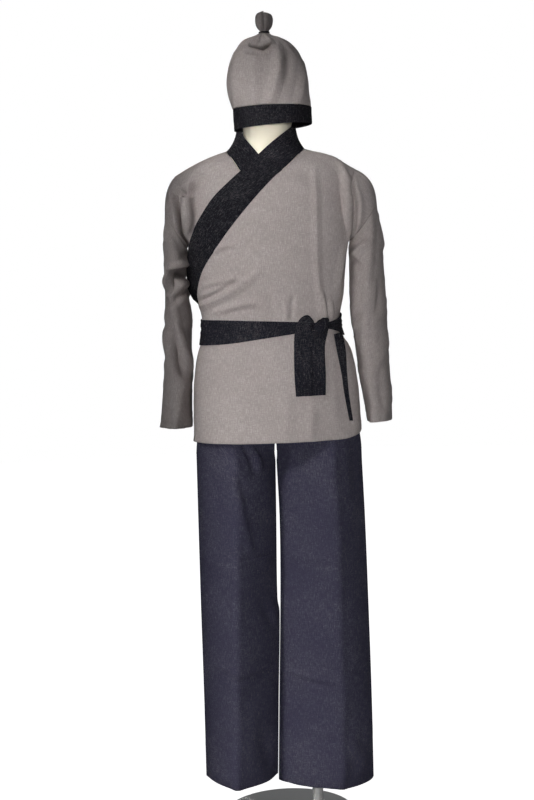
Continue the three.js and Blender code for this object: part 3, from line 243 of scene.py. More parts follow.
SLEEVE_RIGHT_CREASES = rows(
    CREASE,
    (-232, 1408, -200, 1350, 4, 8, -5), (-222, 1396, -193, 1340, 4, -12, 5),
    (-236, 1372, -206, 1322, 4, -12, 4.5), (-187, 1313, -218, 1294, 3, -14, 9),
    (-218, 1294, -230, 1254, -3, -13, 6), (-190, 1289, -214, 1278, 0, 10, -15),
    (-214, 1278, -224, 1246, 0, 8, -11), (-188, 1262, -210, 1240, 0, -11, 6),
    (-203, 1262, -214, 1246, 0, 4, 3), (-200, 1240, -224, 1216, 0, 7, -6),
    (-236, 1222, -222, 1140, 0, 8, -9), (-222, 1140, -204, 1052, 0, 8, -9),
    (-224, 1216, -206, 1130, 0, -13, 7), (-206, 1130, -194, 1060, 0, -13, 5.5),
    (-242, 1150, -232, 1060, 3, -14, 5), (-206, 1040, -222, 950, 0, -16, 5),
    (-236, 1010, -244, 930, 0, 8, -4),
)
SLEEVE_LEFT_CREASES = rows(
    CREASE,
    (233, 1440, 226, 1299, 0, -13, 6), (226, 1299, 209, 1096, -3, -13, 6.5),
    (212, 1096, 228, 920, 3, -14, 4.5), (190, 1330, 214, 1352, 3, 8, -8),
    (194, 1312, 222, 1336, 3, -12, 6), (188, 1300, 206, 1280, 0, 8, -6),
    (186, 1160, 205, 1175, 2, 7, -6), (190, 1140, 214, 1150, 2, -10, 4.5),
    (250, 1400, 256, 1330, 3, -14, 4), (246, 1250, 238, 1180, 3, 8, -6),
    (258, 1130, 238, 1060, 4, -15, 5), (244, 1050, 250, 960, -3, 9, -5),
)
TROUSER_CREASES = rows(
    CREASE,
    (-132, 896, -85, 769, 6, -12, 5), (-85, 769, -64, 645, -3, -11, 4.5),
    (-122, 880, -80, 780, 6, 8, -4), (-74, 893, -53, 829, 4, 6, -5), (-60, 890, -40, 835, 4, -11, 5),
    (-104, 890, -92, 846, 2, -9, 4), (-95, 627, -17, 627, 3, -9, 3.2), (-90, 634, -30, 636, 3, 5, -2),
    (22, 628, 130, 622, -3, -10, 2.4), (-157, 384, -72, 362, 4, -10, 3.4),
    (-116, 350, -17, 360, 4, 6, -2.4), (-110, 372, -20, 374, -4, -11, 2.8),
    (-3, 357, 128, 340, -4, -10, 3.4), (20, 346, 110, 330, -4, 6, -2.2),
    (60, 372, 188, 352, 4, 7, -2.4), (40, 900, 22, 800, 5, -15, 4), (60, 890, 30, 740, 6, 9, -3.4),
    (150, 890, 160, 760, 3, -20, 3.4), (60, 220, 120, 206, 3, -12, 2.4), (-8, 560, 20, 480, 0, 10, 2.4),
    (-40, 520, -14, 440, 0, 10, -2.4), (150, 200, 180, 120, 0, 12, 2.2),
    (-60, 240, -40, 130, 0, 12, -2.4),
)
CAP_CREASES = rows(
    CREASE,
    (-26, 1779, 0, 1770, 0, 5, -12), (0, 1770, 18, 1780, 0, 5, -11), (-22, 1790, -2, 1782, 0, -10, 5),
    (2, 1782, 20, 1791, 0, -10, 5), (-30, 1771, 2, 1760, 3, -10, 5), (34, 1783, 34, 1748, 0, -15, 6),
    (34, 1748, 10, 1646, 5, -17, 6), (-13, 1766, -18, 1646, 0, -14, 4.2),
    (-56, 1772, -60, 1646, -5, -15, 5), (91, 1745, 75, 1646, 3, -15, 5.4),
    (60, 1768, 50, 1700, 0, 9, -4), (-40, 1750, -38, 1668, 0, 10, -3),
    (-66, 1716, -34, 1704, 4, -8, 2.6),
)
CAP_GATHERS = 9
CAP_GATHER_DEPTH = 4.2

# Counts of rows and columns, and sizes of small parts
HALVINGS = 26
SLEEVES = {1: SLEEVE_LEFT, -1: SLEEVE_RIGHT}
SLEEVE_Y = 2
SLEEVE_ROWS, SLEEVE_COLUMNS = 150, 46
ARM_COLUMNS = 18
ARM_PUSH = {1: (11, 10), -1: (-7, 7)}
COLLAR_CELLS, NECK_ROWS, COLLAR_OFF = 14, 57, 2.2
SASH_PINCH = 0.5
SASH_FOLDS = ((0.24, 0.07, 1.1, 0.4), (0.47, 0.08, 1.5, 2.1), (0.70, 0.07, 1.2, 4.0), (0.88, 0.05, 0.9, 5.2))
TAIL_ROWS, TAIL_COLUMNS = 130, 30
LEG_ROWS, HIP_ROWS, LEG_COLUMNS = 190, 34, 52
TROUSER_HEM, CUFF_HEM = 32, 18
CAP_FOOT = 1649.0
FORM_LOW, FORM_HIP, FORM_TAPER, FORM_VOXEL = 984, 1138, 0.987, 0.0052
POLE = ((12.5, 10.3), (12.5, 983.7))
PLATE = ((150, 0), (150, 10))
TIE = {"x": 6.4, "z": 1817.0, "reach": 11.8, "rise": 2.6, "turns": 2.6, "thick": 1.7}
BAND_RIM = 0.6
THREADS = 314.0
STITCH = ((-1.1, 0.12), (-0.8, 0.26), (0.8, 0.26), (1.1, 0.12))
CAMERA_PITCH, CAMERA_ROLL, CAMERA_X = 5.143, 2, -0.020


# Reading the tables


def read(table, name, at):
    """A column's values on a smooth curve through the rows, where the table's first column is at."""
    keys, values = next(iter(table.values())), table[name]
    if keys[-1] < keys[0]:
        keys, values = keys[::-1], values[::-1]
    last = len(keys) - 1
    before, after = np.maximum(np.arange(-1, last), 0), np.minimum(np.arange(1, last + 2), last)
    slopes = (values[after] - values[before]) / (keys[after] - keys[before])
    at = np.asarray(at, float)
    i = np.clip(np.searchsorted(keys, at, side="right"), 1, last)
    run = keys[i] - keys[i - 1]
    t = np.clip((at - keys[i - 1]) / run, 0, 1)
    t2, t3 = t * t, t * t * t
    return (
        values[i - 1] * (2 * t3 - 3 * t2 + 1)
        + values[i] * (3 * t2 - 2 * t3)
        + run * (slopes[i - 1] * (t3 - 2 * t2 + t) + slopes[i] * (t3 - t2))
    )


def read_share(table, name, share):
    """A column's values at shares of the way from its first row to its last."""
    return read({"at": np.linspace(0, 1, len(table[name])), name: table[name]}, name, share)


def smooth(x, low, high):
    t = np.clip((np.asarray(x, float) - low) / (high - low), 0, 1)
    return t * t * (3 - 2 * t)


def bell(x, width):
    return np.exp(-((x / width) ** 2))


def lerp(a, b, t):
    return a + (b - a) * t


def unit(way):
    return way / np.maximum(np.linalg.norm(way, axis=-1, keepdims=True), 1e-9)


def creases(table, x, z):
    """How far the strokes of a table move each place in or out."""
    height = np.zeros(np.broadcast(x, z).shape)
    for x0, z0, x1, z1, bow, wide, tall in zip(*table.values()):
        dx, dz = x1 - x0, z1 - z0
        long = math.hypot(dx, dz)
        along = ((x - x0) * dx + (z - z0) * dz) / long**2
        held = np.clip(along, 0, 1)
        side = ((z - z0) * dx - (x - x0) * dz) / long - bow * 4 * held * (1 - held)
        past = (along - held) * long
        away = np.sqrt(side**2 + past**2)
        fade = 0.35 + 0.65 * np.sin(np.pi * np.clip(held, 0.02, 0.98)) ** 0.5
        if wide < 0:
            height += tall * fade**0.5 * np.maximum(1 + away / wide, 0)
        else:
            trough = 0.3 * bell(np.abs(side) - 1.9 * wide, wide) * bell(past, wide)
            height += tall * fade * (bell(away, wide) - trough)
    return height


def drift(u, v, size, seed, waves=9):
    """A smooth uneven field of about one, with swells of the given size in millimetres."""
    rng = np.random.default_rng(seed)
    total = np.zeros(np.broadcast(u, v).shape)
    for _ in range(waves):
        turn = rng.uniform(0, 2 * np.pi)
        step = 2 * np.pi / (size * rng.uniform(0.7, 1.6))
        total += np.sin((u * np.cos(turn) + v * np.sin(turn)) * step + rng.uniform(0, 2 * np.pi))
    return total / np.sqrt(waves / 2)


# The jacket's body


def ridge_z(a):
    return read(SHOULDER, "z", np.abs(a))


def back_neck_z(a):
    """The top edge of the back: the neckline, then the shoulder line."""
    share = np.minimum(np.abs(a) / NECK_SHARE, 1)
    dip = ridge_z(NECK_SHARE) - NECK_DIP * np.sqrt(1 - share**2)
    return np.where(share < 1, dip, ridge_z(a))


def ring_place(table, a, back, z, inset=0.0):
    """x and y on a table's level rings: a is the share of the way from the middle to a side."""
    right, angle = a < 0, np.abs(a) * np.pi / 2
    wide = np.where(right, read(table, "right", z) + inset, read(table, "left", z) - inset)
    deep = np.where(back, read(table, "back", z), read(table, "front", z)) - inset
    return wide * np.sin(angle), np.where(back, 1, -1) * deep * np.maximum(np.cos(angle), 0) ** SQUARE


def body(around, z, inset=0.0, puff=1.0):
    """The body surface. around: -1 right side, 0 middle front, 1 left side, 2 middle back, 3 right."""
    around, z = np.broadcast_arrays(np.asarray(around, float), np.asarray(z, float))
    back = np.abs(around) > 1
    a = np.where(around > 1, 2 - around, np.where(around < -1, -2 - around, around))
    share = np.abs(a)
    x, y = ring_place(BODY, a, back, np.minimum(z, ARMPIT_Z), inset)
    ridge_x = np.where(a < 0, -1, 1) * (read(SHOULDER, "x", share) - inset)
    rise = np.clip((z - ARMPIT_Z) / (ridge_z(a) - inset - ARMPIT_Z), 0, 1)
    fall = np.cos(np.arcsin(rise ** (CHEST_ROLL / 2))) ** (2 / CHEST_ROLL)
    armhole = puff * ARMHOLE_DEPTH * smooth(share, 0.68, 1) * np.sin(np.pi * rise)
    return np.stack([lerp(ridge_x, x, fall), y * fall + np.where(back, 1, -1) * armhole, z], axis=-1)


def chest_point(x, z):
    """The front of the body surface by its place seen from the front."""
    x, z = np.broadcast_arrays(np.asarray(x, float), np.asarray(z, float))
    low, high = np.full(x.shape, -1.0), np.full(x.shape, 1.0)
    for _ in range(HALVINGS):
        middle = (low + high) / 2
        less = body(middle, z)[..., 0] < x
        low, high = np.where(less, middle, low), np.where(less, high, middle)
    return body((low + high) / 2, z)


def outer_lift(around, z):
    """How far the outer front lies off the body surface."""
    over_inner = (1 - smooth(around, 0.66, 0.93)) * (1 - smooth(z, 1510, 1552))
    return (WALL + 2 + 1.5 * smooth(z, 1280, 1345)) * over_inner


def no_lift(around, z):
    return 0 * z


def seam_line(chest, neck, side):
    """The seam of a collar over its front, and the shoulder line beyond the neck, by the way round."""
    seam = np.concatenate([chest["seam"], neck["seam"][1:]]) * side
    table = {"at": seam, "z": np.concatenate([chest["seam_z"], neck["seam_z"][1:]])}

    def line(around):
        a = np.asarray(around, float) * side
        return np.where(a >= NECK_SHARE, ridge_z(a), read(table, "z", a))

    return line


def seam_gap(line, around):
    slope = (line(around + 0.01) - line(around - 0.01)) / 3
    return 0.6 * SEAM * np.hypot(1, slope) + 1.2 * smooth(line(around), 1480, 1540)


def sleeve_point(table, share, turn, face):
    """Half a sleeve's ring: turn runs from 0 at the inner edge to 1 at the outer edge."""
    share, turn = np.broadcast_arrays(np.asarray(share, float), np.asarray(turn, float))
    across = (1 - np.cos(turn * np.pi)) / 2
    x = lerp(read_share(table, "inner_x", share), read_share(table, "outer_x", share), across)
    z = lerp(read_share(table, "inner_z", share), read_share(table, "outer_z", share), across)
    y = face * read_share(table, "depth", share) * np.maximum(np.sin(turn * np.pi), 0) ** 0.9
    return np.stack([x, y + SLEEVE_Y * np.minimum(share * 4, 1), z], axis=-1)


def arm_cover(side, face, along, turn):
    """The body panel's reach over the upper arm, from the armhole to the sleeve seam."""
    along, turn = np.broadcast_arrays(np.asarray(along, float), np.asarray(turn, float))
    armhole = body(side, ARMPIT_Z + turn * (ridge_z(1) - ARMPIT_Z))
    armhole[..., 1] *= -face
    seam = sleeve_point(SLEEVES[side], 0, turn, face)
    bulge = 4 * along * (1 - along)
    ridge = smooth(turn, 0.55, 1)
    out, up = ARM_PUSH[side]
    push = np.stack([out * ridge * bulge, face * 4 * np.sin(turn * np.pi) * bulge, up * ridge * bulge], -1)
    return lerp(armhole, seam, along[..., None]) + push


# Making meshes


def closed(ring):
    """A ring's grid with its first column once more at the end."""
    return np.concatenate([ring, ring[:, :1]], axis=1)


def corners(grid):
    """The four corners of each cell of a grid."""
    return np.stack([grid[:-1, :-1], grid[:-1, 1:], grid[1:, 1:], grid[1:, :-1]], axis=2)


def ways(grid, there=None, ring=False):
    """The unit way out at each point of a grid, from those of its cells that are there."""
    wide = closed(grid) if ring else grid
    cells = unit(np.cross(wide[1:, 1:] - wide[:-1, :-1], wide[1:, :-1] - wide[:-1, 1:]))
    if there is not None:
        cells *= there[..., None]
    total = np.zeros(wide.shape)
    for low in (slice(None, -1), slice(1, None)):
        for left in (slice(None, -1), slice(1, None)):
            total[low, left] += cells
    if ring:
        total[:, 0] += total[:, -1]
        total = total[:, :-1]
    return unit(total)


def level(way, axis, weights):
    """Takes one axis out of ways, more where the weights are nearer 1."""
    way = way.copy()
    way[..., axis] *= 1 - weights
    return unit(way)


def flat_lengths(grid):
    """Lengths in millimetres along and across a grid, for a cloth's own UV map."""
    across = np.linalg.norm(np.diff(grid, axis=1), axis=-1)
    up = np.linalg.norm(np.diff(grid, axis=0), axis=-1)
    u = np.concatenate([np.zeros((len(grid), 1)), np.cumsum(across, axis=1)], axis=1)
    return u, np.concatenate([np.zeros((1, grid.shape[1])), np.cumsum(up, axis=0)], axis=0)


def area_of(grid):
    """The area of a grid of points in square metres."""
    a = np.cross(grid[:-1, 1:] - grid[:-1, :-1], grid[1:, :-1] - grid[:-1, :-1])
    b = np.cross(grid[1:, :-1] - grid[1:, 1:], grid[:-1, 1:] - grid[1:, 1:])
    cells = (np.linalg.norm(a, axis=-1) + np.linalg.norm(b, axis=-1)) / 2
    return float(cells.sum()) * MM * MM


def new_object(name, mesh):
    made = bpy.data.objects.new(name, mesh)
    bpy.context.scene.collection.objects.link(made)
    return made


def shade_smooth(mesh):
    mesh.polygons.foreach_set("use_smooth", [True] * len(mesh.polygons))


def grid_object(name, grid, uv=None, ring=False, capped=False):
    """An object from a grid of points in millimetres, with the cloth's own UV map where uv is given.
    A ring is closed across, and its uv has one column more for the seam."""
    index = np.arange(grid.shape[0] * grid.shape[1]).reshape(grid.shape[:2])
    if ring:
        index = closed(index)
    faces = corners(index).reshape(-1, 4).tolist()
    if capped:
        faces += [index[0, -2::-1].tolist(), index[-1, :-1].tolist()]
    mesh = bpy.data.meshes.new(name)
    mesh.from_pydata(((grid.reshape(-1, 3) + ORIGIN) * MM).tolist(), [], faces)
    if uv:
        coords = corners(np.stack(uv, axis=-1) * MM)
        mesh.uv_layers.new(name="cloth").data.foreach_set("uv", coords.astype(np.float32).ravel())
        shade_smooth(mesh)
        mesh.update()
    return new_object(name, mesh)


def strip_piece(name, grid):
    """A strip of cloth, and its grid."""
    return grid_object(name, grid, flat_lengths(grid)), [grid]


def ring_piece(name, ring, pin=None):
    """A ring of cloth, and its grid. Its widths on the UV map are those of the pinned row."""
    u, v = flat_lengths(closed(ring))
    if pin is not None:
        u[:] = u[pin].copy()
    return grid_object(name, ring, (u, v), ring=True), [closed(ring)]


def apply_all(made):
    """Turns an object and its modifiers into a plain mesh."""
    depsgraph = bpy.context.evaluated_depsgraph_get()
    depsgraph.update()
    mesh = bpy.data.meshes.new_from_object(made.evaluated_get(depsgraph), depsgraph=depsgraph)
    made.modifiers.clear()
    old, made.data = made.data, mesh
    bpy.data.meshes.remove(old)
    shade_smooth(mesh)


def modifier(made, kind, **values):
    added = made.modifiers.new(kind.lower(), kind)
    for name, value in values.items():
        setattr(added, name, value)
    return added


def thicken(made, thick, rim=0.0):
    """Gives cloth its thickness inwards, with softly rounded edges where rim is given."""
    modifier(made, "SOLIDIFY", thickness=thick, offset=-1, use_quality_normals=True)
    if rim:
        modifier(made, "BEVEL", width=rim * MM, segments=2, angle_limit=math.radians(50))
    apply_all(made)


def finish_piece(made, slot, *nodes):
    """Gives a piece its material and its place in the frame."""
    made.data.materials.clear()
    made.data.materials.append(finish_of(slot))
    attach(made, "root")
    if nodes:
        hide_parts(*nodes)


def longest(grid, axis):
    """The longest of a grid's lines that run along an axis."""
    return np.linalg.norm(np.diff(grid, axis=axis), axis=-1).sum(axis=axis).max()


def declare(made, grids):
    """Works out the cut of a cloth piece: the size of its pattern and its flat area. None of it is kept or
    stated.
    """
    wide, long = (max(longest(grid, axis) for grid in grids) * MM for axis in (1, 0))
    area = sum(area_of(g) for g in grids)
    if area > wide * long:
        wide = area / long * 1.002
    if area < 0.31 * wide * long:
        wide = area / (0.4 * long)


def sew(piece, slot, cad_node, thick, held, *rests_on, rim=0.0):
    """Finishes a flat cloth piece: its thickness and its place in the frame. Its cut is worked out but not
    kept.
    """
    made, grids = piece
    thicken(made, thick, rim)
    finish_piece(made, slot, cad_node)
    declare(made, grids)
    return grids[0]


# Materials


def set_values(made, values):
    """Sets a node's own values, and its inputs with _ for a space."""
    for name, value in values.items():
        if hasattr(made, name):
            setattr(made, name, value)
        else:
            made.inputs[name.replace("_", " ")].default_value = value


def node(tree, kind, **values):
    made = tree.nodes.new(kind)
    set_values(made, values)
    return made


def join(tree, *links):
    """Joins nodes. Each link is a node, its output, another node and its input."""
    for start, output, end, entry in links:
        tree.links.new(start.outputs[output], end.inputs[entry])


def maths(operation, first, second):
    """A sum of an output and a number or another output."""
    tree = first.id_data
    made = node(tree, "ShaderNodeMath", operation=operation)
    tree.links.new(first, made.inputs[0])
    if isinstance(second, float):
        made.inputs[1].default_value = second
    else:
        tree.links.new(second, made.inputs[1])
    return made.outputs[0]


def new_material(name, **values):
    made = bpy.data.materials.new(name)
    made.use_nodes = True
    shader = made.node_tree.nodes["Principled BSDF"]
    set_values(shader, values)
    return made, made.node_tree, shader


def tinted(colour, share):
    return tuple(min(c * share, 1) for c in colour) + (1,)


def woven(name, colour, thread, slub, fleck, sheen, relief):
    """A plain weave on the cloth's own UV map: uneven threads both ways, flecks and a soft nap.
    thread is its pitch in millimetres, slub how uneven the threads' colour is, fleck how mottled."""
    sheens = {"Sheen_Weight": sheen, "Sheen_Roughness": 0.5, "Sheen_Tint": tinted(colour, 2.2)}
    material, tree, shader = new_material(name, Roughness=0.92, Specular_IOR_Level=0.06, **sheens)
    place = node(tree, "ShaderNodeUVMap", uv_map="cloth")

    def noise(start, **values):
        made = node(tree, "ShaderNodeTexNoise", **values)
        join(tree, (start, 0, made, "Vector"))
        return made.outputs["Fac"]

    streaks = []
    for scale in ((1300, 45, 1), (60, 1300, 1), (420, 110, 1)):
        mapping = node(tree, "ShaderNodeMapping", Scale=scale)
        join(tree, (place, 0, mapping, 0))
        streaks.append(noise(mapping, Scale=1.0, Detail=2.5, Roughness=0.6))
    cloud, speck = noise(place, Scale=9.0, Detail=3.0), noise(place, Scale=420.0, Detail=2.0)
    both = maths("ADD", streaks[0], streaks[1])
    both = maths("ADD", both, maths("MULTIPLY", streaks[2], 0.8))
    both = maths("MULTIPLY", maths("SUBTRACT", both, 1.4), slub)
    mottled = maths("MULTIPLY", maths("SUBTRACT", cloud, 0.5), fleck)
    grain = maths("MULTIPLY", maths("SUBTRACT", speck, 0.5), fleck * 1.4)
    tone = maths("ADD", maths("ADD", both, mottled), maths("ADD", grain, 0.5))
    ramp = node(tree, "ShaderNodeValToRGB")
    ramp.color_ramp.elements.new(0.5)
    tones = (tinted(colour, 0.6), tinted(colour, 1.45), (1, 1, 1, 1))
    for element, tone_colour in zip(ramp.color_ramp.elements, tones):
        element.color = tone_colour
    tree.links.new(tone, ramp.inputs[0])
    waves = []
    for direction in ("X", "Y"):
        wave = node(tree, "ShaderNodeTexWave", bands_direction=direction, Scale=THREADS / thread)
        set_values(wave, {"Distortion": 0.6, "Detail": 1.0})
        join(tree, (place, 0, wave, "Vector"))
        waves.append(wave.outputs["Fac"])
    height = maths("ADD", maths("MULTIPLY", maths("MAXIMUM", *waves), 0.5), both)
    bump = node(tree, "ShaderNodeBump", Strength=relief, Distance=0.0004)
    tree.links.new(height, bump.inputs["Height"])
    join(tree, (ramp, 0, shader, "Base Color"), (bump, 0, shader, "Normal"))
    return material


def covered(name, colour):
    """The form's smooth stretched cover, with a faint knit and mottling."""
    material, tree, shader = new_material(name, Roughness=0.62, Sheen_Weight=0.1)
    place = node(tree, "ShaderNodeTexCoord")
    cloud = node(tree, "ShaderNodeTexNoise", Scale=14.0, Detail=4.0)
    knit = node(tree, "ShaderNodeTexNoise", Scale=900.0, Detail=1.0)
    ramp = node(tree, "ShaderNodeValToRGB")
    dark, light = ramp.color_ramp.elements
    dark.position, light.position = 0.3, 0.7
    dark.color = (colour[0] * 0.93, colour[1] * 0.92, colour[2] * 0.88, 1)
    light.color = (*colour, 1)
    bump = node(tree, "ShaderNodeBump", Strength=0.25, Distance=0.0002)
    join(
        tree,
        (place, "Object", cloud, "Vector"),
        (place, "Object", knit, "Vector"),
        (cloud, "Fac", ramp, 0),
        (ramp, 0, shader, "Base Color"),
        (knit, "Fac", bump, "Height"),
        (bump, 0, shader, "Normal"),
    )
    return material


def coated(name, colour):
    """White powder coat: a fine even grain in its relief."""
    material, tree, shader = new_material(name, Base_Color=(*colour, 1), Roughness=0.42)
    place = node(tree, "ShaderNodeTexCoord")
    grain = node(tree, "ShaderNodeTexNoise", Scale=1600.0, Detail=2.0)
    bump = node(tree, "ShaderNodeBump", Strength=0.3, Distance=0.0001)
    join(tree, (place, "Object", grain, "Vector"), (grain, "Fac", bump, "Height"))
    join(tree, (bump, 0, shader, "Normal"))
    return material


# Each slot's maker, name, colour property, and for a weave its thread, slub, fleck, sheen and relief
FINISHES = {
    "grey_linen": (woven, "grey linen", "grey", 1.1, 0.42, 0.14, 0.06, 0.45),
    "black_cotton": (woven, "black cotton", "black", 0.8, 0.1, 0.05, 0.0, 0.1),
    "sash_cotton": (woven, "sash cotton", "sash", 0.8, 0.1, 0.06, 0.0, 0.1),
    "navy_twill": (woven, "navy twill", "navy", 0.9, 0.13, 0.05, 0.02, 0.12),
    "form_cover": (covered, "form cover", "form"),
    "form_steel": (coated, "white coat", "steel"),
}
MATERIALS = {}


def finish_of(slot):
    """The material of a slot of the record, made when it is first asked for."""
    if slot not in MATERIALS:
        maker, name, colour, *looks = FINISHES[slot]
        MATERIALS[slot] = maker(name, getattr(bpy.context.scene.costume_colours, colour), *looks)
    return MATERIALS[slot]


# Settings


def colour_property(name, description, value):
    return FloatVectorProperty(
        name=name, description=description, default=value, size=3, min=0, max=1, subtype="COLOR"
    )


def amount(name, description, value, low, high, **kind):
    return FloatProperty(name=name, description=description, default=value, min=low, max=high, **kind)


def length(name, description, value, low, high):
    return amount(name, description, value, low, high, unit="LENGTH", precision=4)


def power(name, description, value):
    return amount(name, description, value, 0, 500, unit="POWER", precision=3)


class CostumeColours(PropertyGroup):
    grey: colour_property("Grey cloth", "Jacket and cap", (0.315, 0.280, 0.272))
    black: colour_property("Black cloth", "Collar and cap band", (0.0085, 0.0080, 0.0110))
    sash: colour_property("Sash cloth", "Sash and its ends", (0.0110, 0.0105, 0.0150))
    navy: colour_property("Trouser cloth", "Trousers", (0.036, 0.0345, 0.058))
    form: colour_property("Form cover", "The dress form's cover", (0.94, 0.88, 0.73))
    steel: colour_property("Stand", "Pole and base plate", (0.88, 0.88, 0.87))


class CostumeSizes(PropertyGroup):
    cloth: length("Cloth", "Thickness of one layer", 0.0013, 0.0006, 0.002)
    band: length("Band", "Thickness of a folded band", 0.0022, 0.001, 0.0026)
    hem: length("Hem", "Height of the sewn hems", 0.02, 0.008, 0.04)
    stitch: length("Stitch", "Length of a stitch with its gap", 0.0032, 0.0015, 0.006)
    fold_height: amount("Fold height", "How far creases stand out", 1.3, 0, 1.6, subtype="FACTOR")


class CostumeStage(PropertyGroup):
    lens: amount("Lens", "Focal length", 68.49, 20, 200, unit="CAMERA")
    distance: length("Distance", "Camera to the origin", 3.5, 1, 20)
    height: length("Height", "Camera above the floor", 1.3, 0, 5)
    key: power("Key light", "Power of the upright key strip", 0.86)
    side: power("Side light", "Power of the raking strip", 0.6)
    fill: power("Fill light", "Power of the soft fill light", 3.6)
    back: power("Back light", "Power of the light behind", 14)
    neck: power("Neck light", "Power of the narrow light on the neck", 0.01)
    floor: colour_property("Floor", "Floor and backdrop", (0.9, 0.9, 0.9))


# Jacket panels


def masked_object(name, grid, there, uv):
    """A mesh of those cells of a grid that are there."""
    made = grid_object(name, grid, uv)
    work = bmesh.new()
    work.from_mesh(made.data)
    work.faces.ensure_lookup_table()
    gone = [work.faces[i] for i in np.flatnonzero(~there.reshape(-1))]
    bmesh.ops.delete(work, geom=gone, context="FACES")
    work.to_mesh(made.data)
    work.free()
    return made


def panel_heights(around, top, counts):
    """Heights of a panel's columns up to their top edges, and the share of the shoulder stretch."""
    skirt, chest, shoulder = counts
    chest_z = lerp(lerp(WAIST_Z, top, 0.55), ARMPIT_Z, smooth(top, 1310, 1385))
    low = np.linspace(HEM_Z, WAIST_Z, skirt + 1)[:, None] + 0 * top
    low = low + HEM_RISE * smooth(around, 0.5, 1) * (WAIST_Z - low) / (WAIST_Z - HEM_Z)
    middle = lerp(WAIST_Z, chest_z, np.linspace(0, 1, chest + 1)[1:, None])
    rise = np.linspace(0, 1, shoulder + 1)[1:]
    share = np.concatenate([np.zeros(skirt + chest + 1), rise])
    return np.concatenate([low, middle, lerp(chest_z, top, rise[:, None])]), share


def body_panel(name, columns, top, face, arms, lift, strokes, seed, counts, deepest):
    """One body panel with its reach over the upper arms, and the grids that it was made from."""
    heights, share = panel_heights(columns, top, counts)
    armpit = counts[0] + counts[1]
    around = np.broadcast_to(columns, heights.shape)
    main = body(around if face < 0 else 2 - around, heights)
    kind = np.clip((np.abs(around) - 0.9) / 0.1, 0, 1)
    blocks = [(main, lift(around, heights), kind, 0 * heights)]
    for side in arms:
        reach = np.linspace(0, 1, ARM_COLUMNS + 1)[1:][::side]
        grid = arm_cover(side, face, reach[None, :], share[:, None])
        flat = np.zeros(grid.shape[:2])
        block = (grid, flat, flat + 1, flat + reach)
        blocks = [*blocks, block] if side > 0 else [block, *blocks]
    grid, off, kind, reach = (np.concatenate(part, axis=1)[:, ::-face] for part in zip(*blocks))
    there = np.ones((grid.shape[0] - 1, grid.shape[1] - 1), bool)
    there[:armpit] = (reach[0, 1:] + reach[0, :-1])[None, :] == 0
    rise = share[:, None] + 0 * off
    x, z = grid[..., 0], grid[..., 2]
    sewn = kind if len(arms) == 2 else kind * (x * arms[0] > 0)
    shoulder = (np.abs(x) > 83) & (z > 1500) | (np.abs(x) > 210)
    flat = np.maximum(sewn * (1 - np.clip(rise / 0.11, 0, 1)), np.clip((rise - 0.9) / 0.1, 0, 1) * shoulder)
    way = level(ways(grid, there), 1, flat)
    edge = np.clip(1 - (kind - 0.3) / 0.7, 0, 1) * (reach == 0) + (reach > 0)
    seam = np.where(rise > 0, np.maximum(edge, smooth(rise, 0, 0.12)), edge)
    seam = seam * (1 - smooth(reach, 0.86, 1)) * (1 - smooth(rise, 0.93, 1) * shoulder)
    uneven = drift(x, z, 90, seed) * 0.5 + drift(x * 0.6, z, 38, seed + 1) * 0.3
    hem = 0.9 * bell(z - HEM_Z, 9) * drift(x, z * 0, 60, seed + 2)
    relief = (creases(strokes, x, z) + uneven + hem) * bpy.context.scene.costume_sizes.fold_height
    limit = lerp(deepest, -11.0, kind)
    relief = np.maximum(relief, limit + 0.25 * (relief - limit)) * seam
    outside = grid + way * (off + WALL + relief)[..., None]
    u = flat_lengths(outside * (1, 1, 0))[0]
    u -= u[:, [int(np.argmin(np.abs(x[0])))]]
    made = masked_object(name, outside, there, (u, flat_lengths(outside)[1]))
    return made, [outside[: armpit + 1][:, reach[0] == 0], outside[armpit:]]


def sewn_columns(*stops, size):
    """Columns between stops, close to a size in shares of the way round."""
    parts = []
    for a, b in zip(stops, stops[1:]):
        parts.append(np.linspace(a, b, max(round(abs(b - a) / size), 1) + 1)[:-1])
    return np.concatenate([*parts, stops[-1:]])


def jacket_body():
    """The two fronts and the back, one after the other."""
    over = sewn_columns(COLLAR_OVER["seam"][0], 0.0, NECK_SHARE, 1.0, size=0.0115)
    line = seam_line(COLLAR_OVER, NECK_OVER, 1)
    top = line(over) - np.where(over <= NECK_SHARE, seam_gap(line, over) * 0.7, 0)
    counts = (74, 36, 52)
    yield body_panel("front_left", over, top, -1, (1,), outer_lift, FRONT_LEFT_CREASES, 11, counts, -4.2)
    under = sewn_columns(-1.0, -NECK_SHARE, COLLAR_UNDER["seam"][0], size=0.017)
    line = seam_line(COLLAR_UNDER, NECK_UNDER, -1)
    top = line(under) - np.where(under >= -NECK_SHARE, seam_gap(line, under) * 0.7, 0)
    counts = (60, 34, 52)
    yield body_panel("front_right", under, top, -1, (-1,), no_lift, FRONT_RIGHT_CREASES, 21, counts, -1.6)
    back = sewn_columns(-1.0, -NECK_SHARE, NECK_SHARE, 1.0, size=0.014)
    top = back_neck_z(back) - np.where(np.abs(back) < NECK_SHARE, 0.3, 0)
    yield body_panel("back", back, top, 1, (1, -1), no_lift, BACK_CREASES, 31, (72, 36, 48), -1.6)


